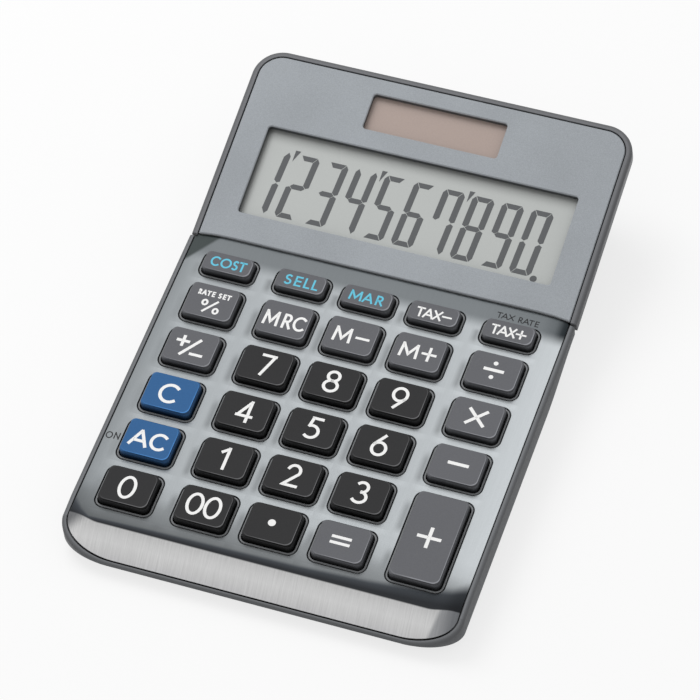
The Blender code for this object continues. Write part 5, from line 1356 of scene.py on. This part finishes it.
# Display. Pale greenish liquid crystal glass behind the large window, with ten slanted digits of cut
# segments, thousands marks and a point; and the brownish solar cell behind the small window.
PANE_MARGIN = 0.0018
DIGIT_PITCH = 0.00796
DIGIT_WIDTH = 0.0059
DIGIT_HEIGHT = 0.01877
DIGIT_BASE = 0.0097
FIRST_DIGIT_RIGHT = -0.03436
SEGMENT_WIDTH = 0.00165
SEGMENT_HEIGHT = 0.00142
SEGMENT_GAP = 0.00012
CUT_WIDTH = 0.0007
CUT_HEIGHT = 0.0011
SLANT = tan(radians(3.1))
SEGMENT_LIFT = 0.00004
MARK = ((0.00020, 0.01642), (0.00141, 0.01971), (0.0, 0.01971))
MARK_AFTER_DIGIT = 0.00074
POINT_AFTER_DIGIT = (0.00099, -0.00035)
POINT_RADIUS = 0.0009
POINT_STEPS = 24
REAR_SHADE = (-0.0042, 0.0006)
LEFT_SHADE = (-0.0004, 0.0022)
LIT = {"0": "abcdef", "1": "bc", "2": "abged", "3": "abgcd", "4": "fgbc", "5": "afgcd", "6": "afgedc",
       "7": "fabc", "8": "abcdefg", "9": "abfgcd"}


def pane(name, window, material, node):
    """A flat glass plate under a window: rounded outlines from the middle below to the middle above."""
    width, height, start = window
    centre = np.array([0, start + height / 2])
    size = (width + 2 * PANE_MARGIN, height + 2 * PANE_MARGIN)
    edge = outline(*size, WINDOW_CORNER, centre, WINDOW_COUNTS)
    middle = edge * 0 + centre
    rings = np.stack([middle, edge, edge, centre + (edge - centre) * 0.5, middle])
    levels = -np.array([HEAD_DEPTH, HEAD_DEPTH, GLASS_LEVEL, GLASS_LEVEL, GLASS_LEVEL])
    points = head(rings[..., 0], rings[..., 1], levels[:, None])
    mesh = new_mesh(name, points, grid_faces(len(rings), len(edge), round_columns=True))
    place_piece(name, mesh, material, "case", node, node)


def window_shade(material, window, darkest):
    """Darken a glass near the rear and left edges of its window, which the thick panel keeps in shade."""
    width, height, start = window
    tree = material.node_tree
    axes = put(tree, "SeparateXYZ", {"Vector": put(tree, "TexCoord").outputs["Object"]}).outputs
    rear = float(head(np.zeros(1), start + height, -GLASS_LEVEL)[0, 1])
    left = HEAD_OFFSET - width / 2
    behind = spread(tree, axes["Y"], 1.0, darkest, *[rear + away for away in REAR_SHADE])
    beside = spread(tree, axes["X"], darkest, 1.0, *[left + away for away in LEFT_SHADE])
    return multiplied(material, calc(tree, "MULTIPLY", behind, beside))


def segment_shapes():
    """Plan outlines of the seven segments in a digit's own box, ends cut slanted, a small gap between."""
    w, h, a, b, g = DIGIT_WIDTH, DIGIT_HEIGHT, SEGMENT_WIDTH, SEGMENT_HEIGHT, SEGMENT_GAP
    m = h / 2

    def mirror(shape):
        return [(w - x, y) for x, y in shape][::-1]

    def turn_over(shape):
        return [(x, h - y) for x, y in shape][::-1]

    upper_left = [(0, h - CUT_HEIGHT), (CUT_WIDTH, h - g), (a, h - b - g), (a, m + b / 2 + g), (a / 2, m + g),
                  (0, m + a / 3)]
    lower_left = turn_over(upper_left)
    top = [(CUT_WIDTH + g, h), (w - CUT_WIDTH - g, h), (w - a - g, h - b), (a + g, h - b)][::-1]
    middle = [(a / 2 + g, m), (a, m - b / 2), (w - a, m - b / 2), (w - a / 2 - g, m), (w - a, m + b / 2),
              (a, m + b / 2)]
    return {"a": top, "b": mirror(upper_left), "c": mirror(lower_left), "d": turn_over(top),
            "e": lower_left, "f": upper_left, "g": middle}


def digit_surfaces():
    """All lit segments, marks and the point as thin prisms on the glass, slanted about the digits' top."""
    shapes = segment_shapes()
    outlines = [np.array(shapes[segment]) + (FIRST_DIGIT_RIGHT - DIGIT_WIDTH + place * DIGIT_PITCH, 0)
                for place, digit in enumerate("1234567890") for segment in LIT[digit]]
    for place in (1, 4, 7):
        corner = FIRST_DIGIT_RIGHT + (place - 1) * DIGIT_PITCH + MARK_AFTER_DIGIT
        outlines.append(np.array(MARK) + (corner, 0))
    point = np.array([FIRST_DIGIT_RIGHT + 9 * DIGIT_PITCH, 0]) + POINT_AFTER_DIGIT
    outlines.append(point + POINT_RADIUS * circle(POINT_STEPS))
    surfaces = []
    for shape in outlines:
        slanted = shape[:, 0] + (shape[:, 1] - DIGIT_HEIGHT) * SLANT
        levels = (-GLASS_LEVEL - SEGMENT_LIFT, -GLASS_LEVEL + SEGMENT_LIFT)
        up = DIGIT_BASE + shape[:, 1]
        surfaces.append(carried(np.stack([head(slanted, up, level) for level in levels])))
    return surfaces


lcd_finish = moulded("lcd_glass", (190, 193, 191), roughness=0.25, contrast=0.015)
pane("lcd_pane", LCD, window_shade(lcd_finish, LCD, 0.5), "lcd_glass")
solar_finish = moulded("solar_glass", (178, 161, 153), roughness=0.25, contrast=0.03)
pane("solar_pane", SOLAR, solar_finish, "solar_cell")
ink = moulded("lcd_ink", (92, 94, 96), roughness=0.35, contrast=0.03)
place_piece("lcd_digits", joined("lcd_digits", digit_surfaces()), ink, "case", "lcd_glass")
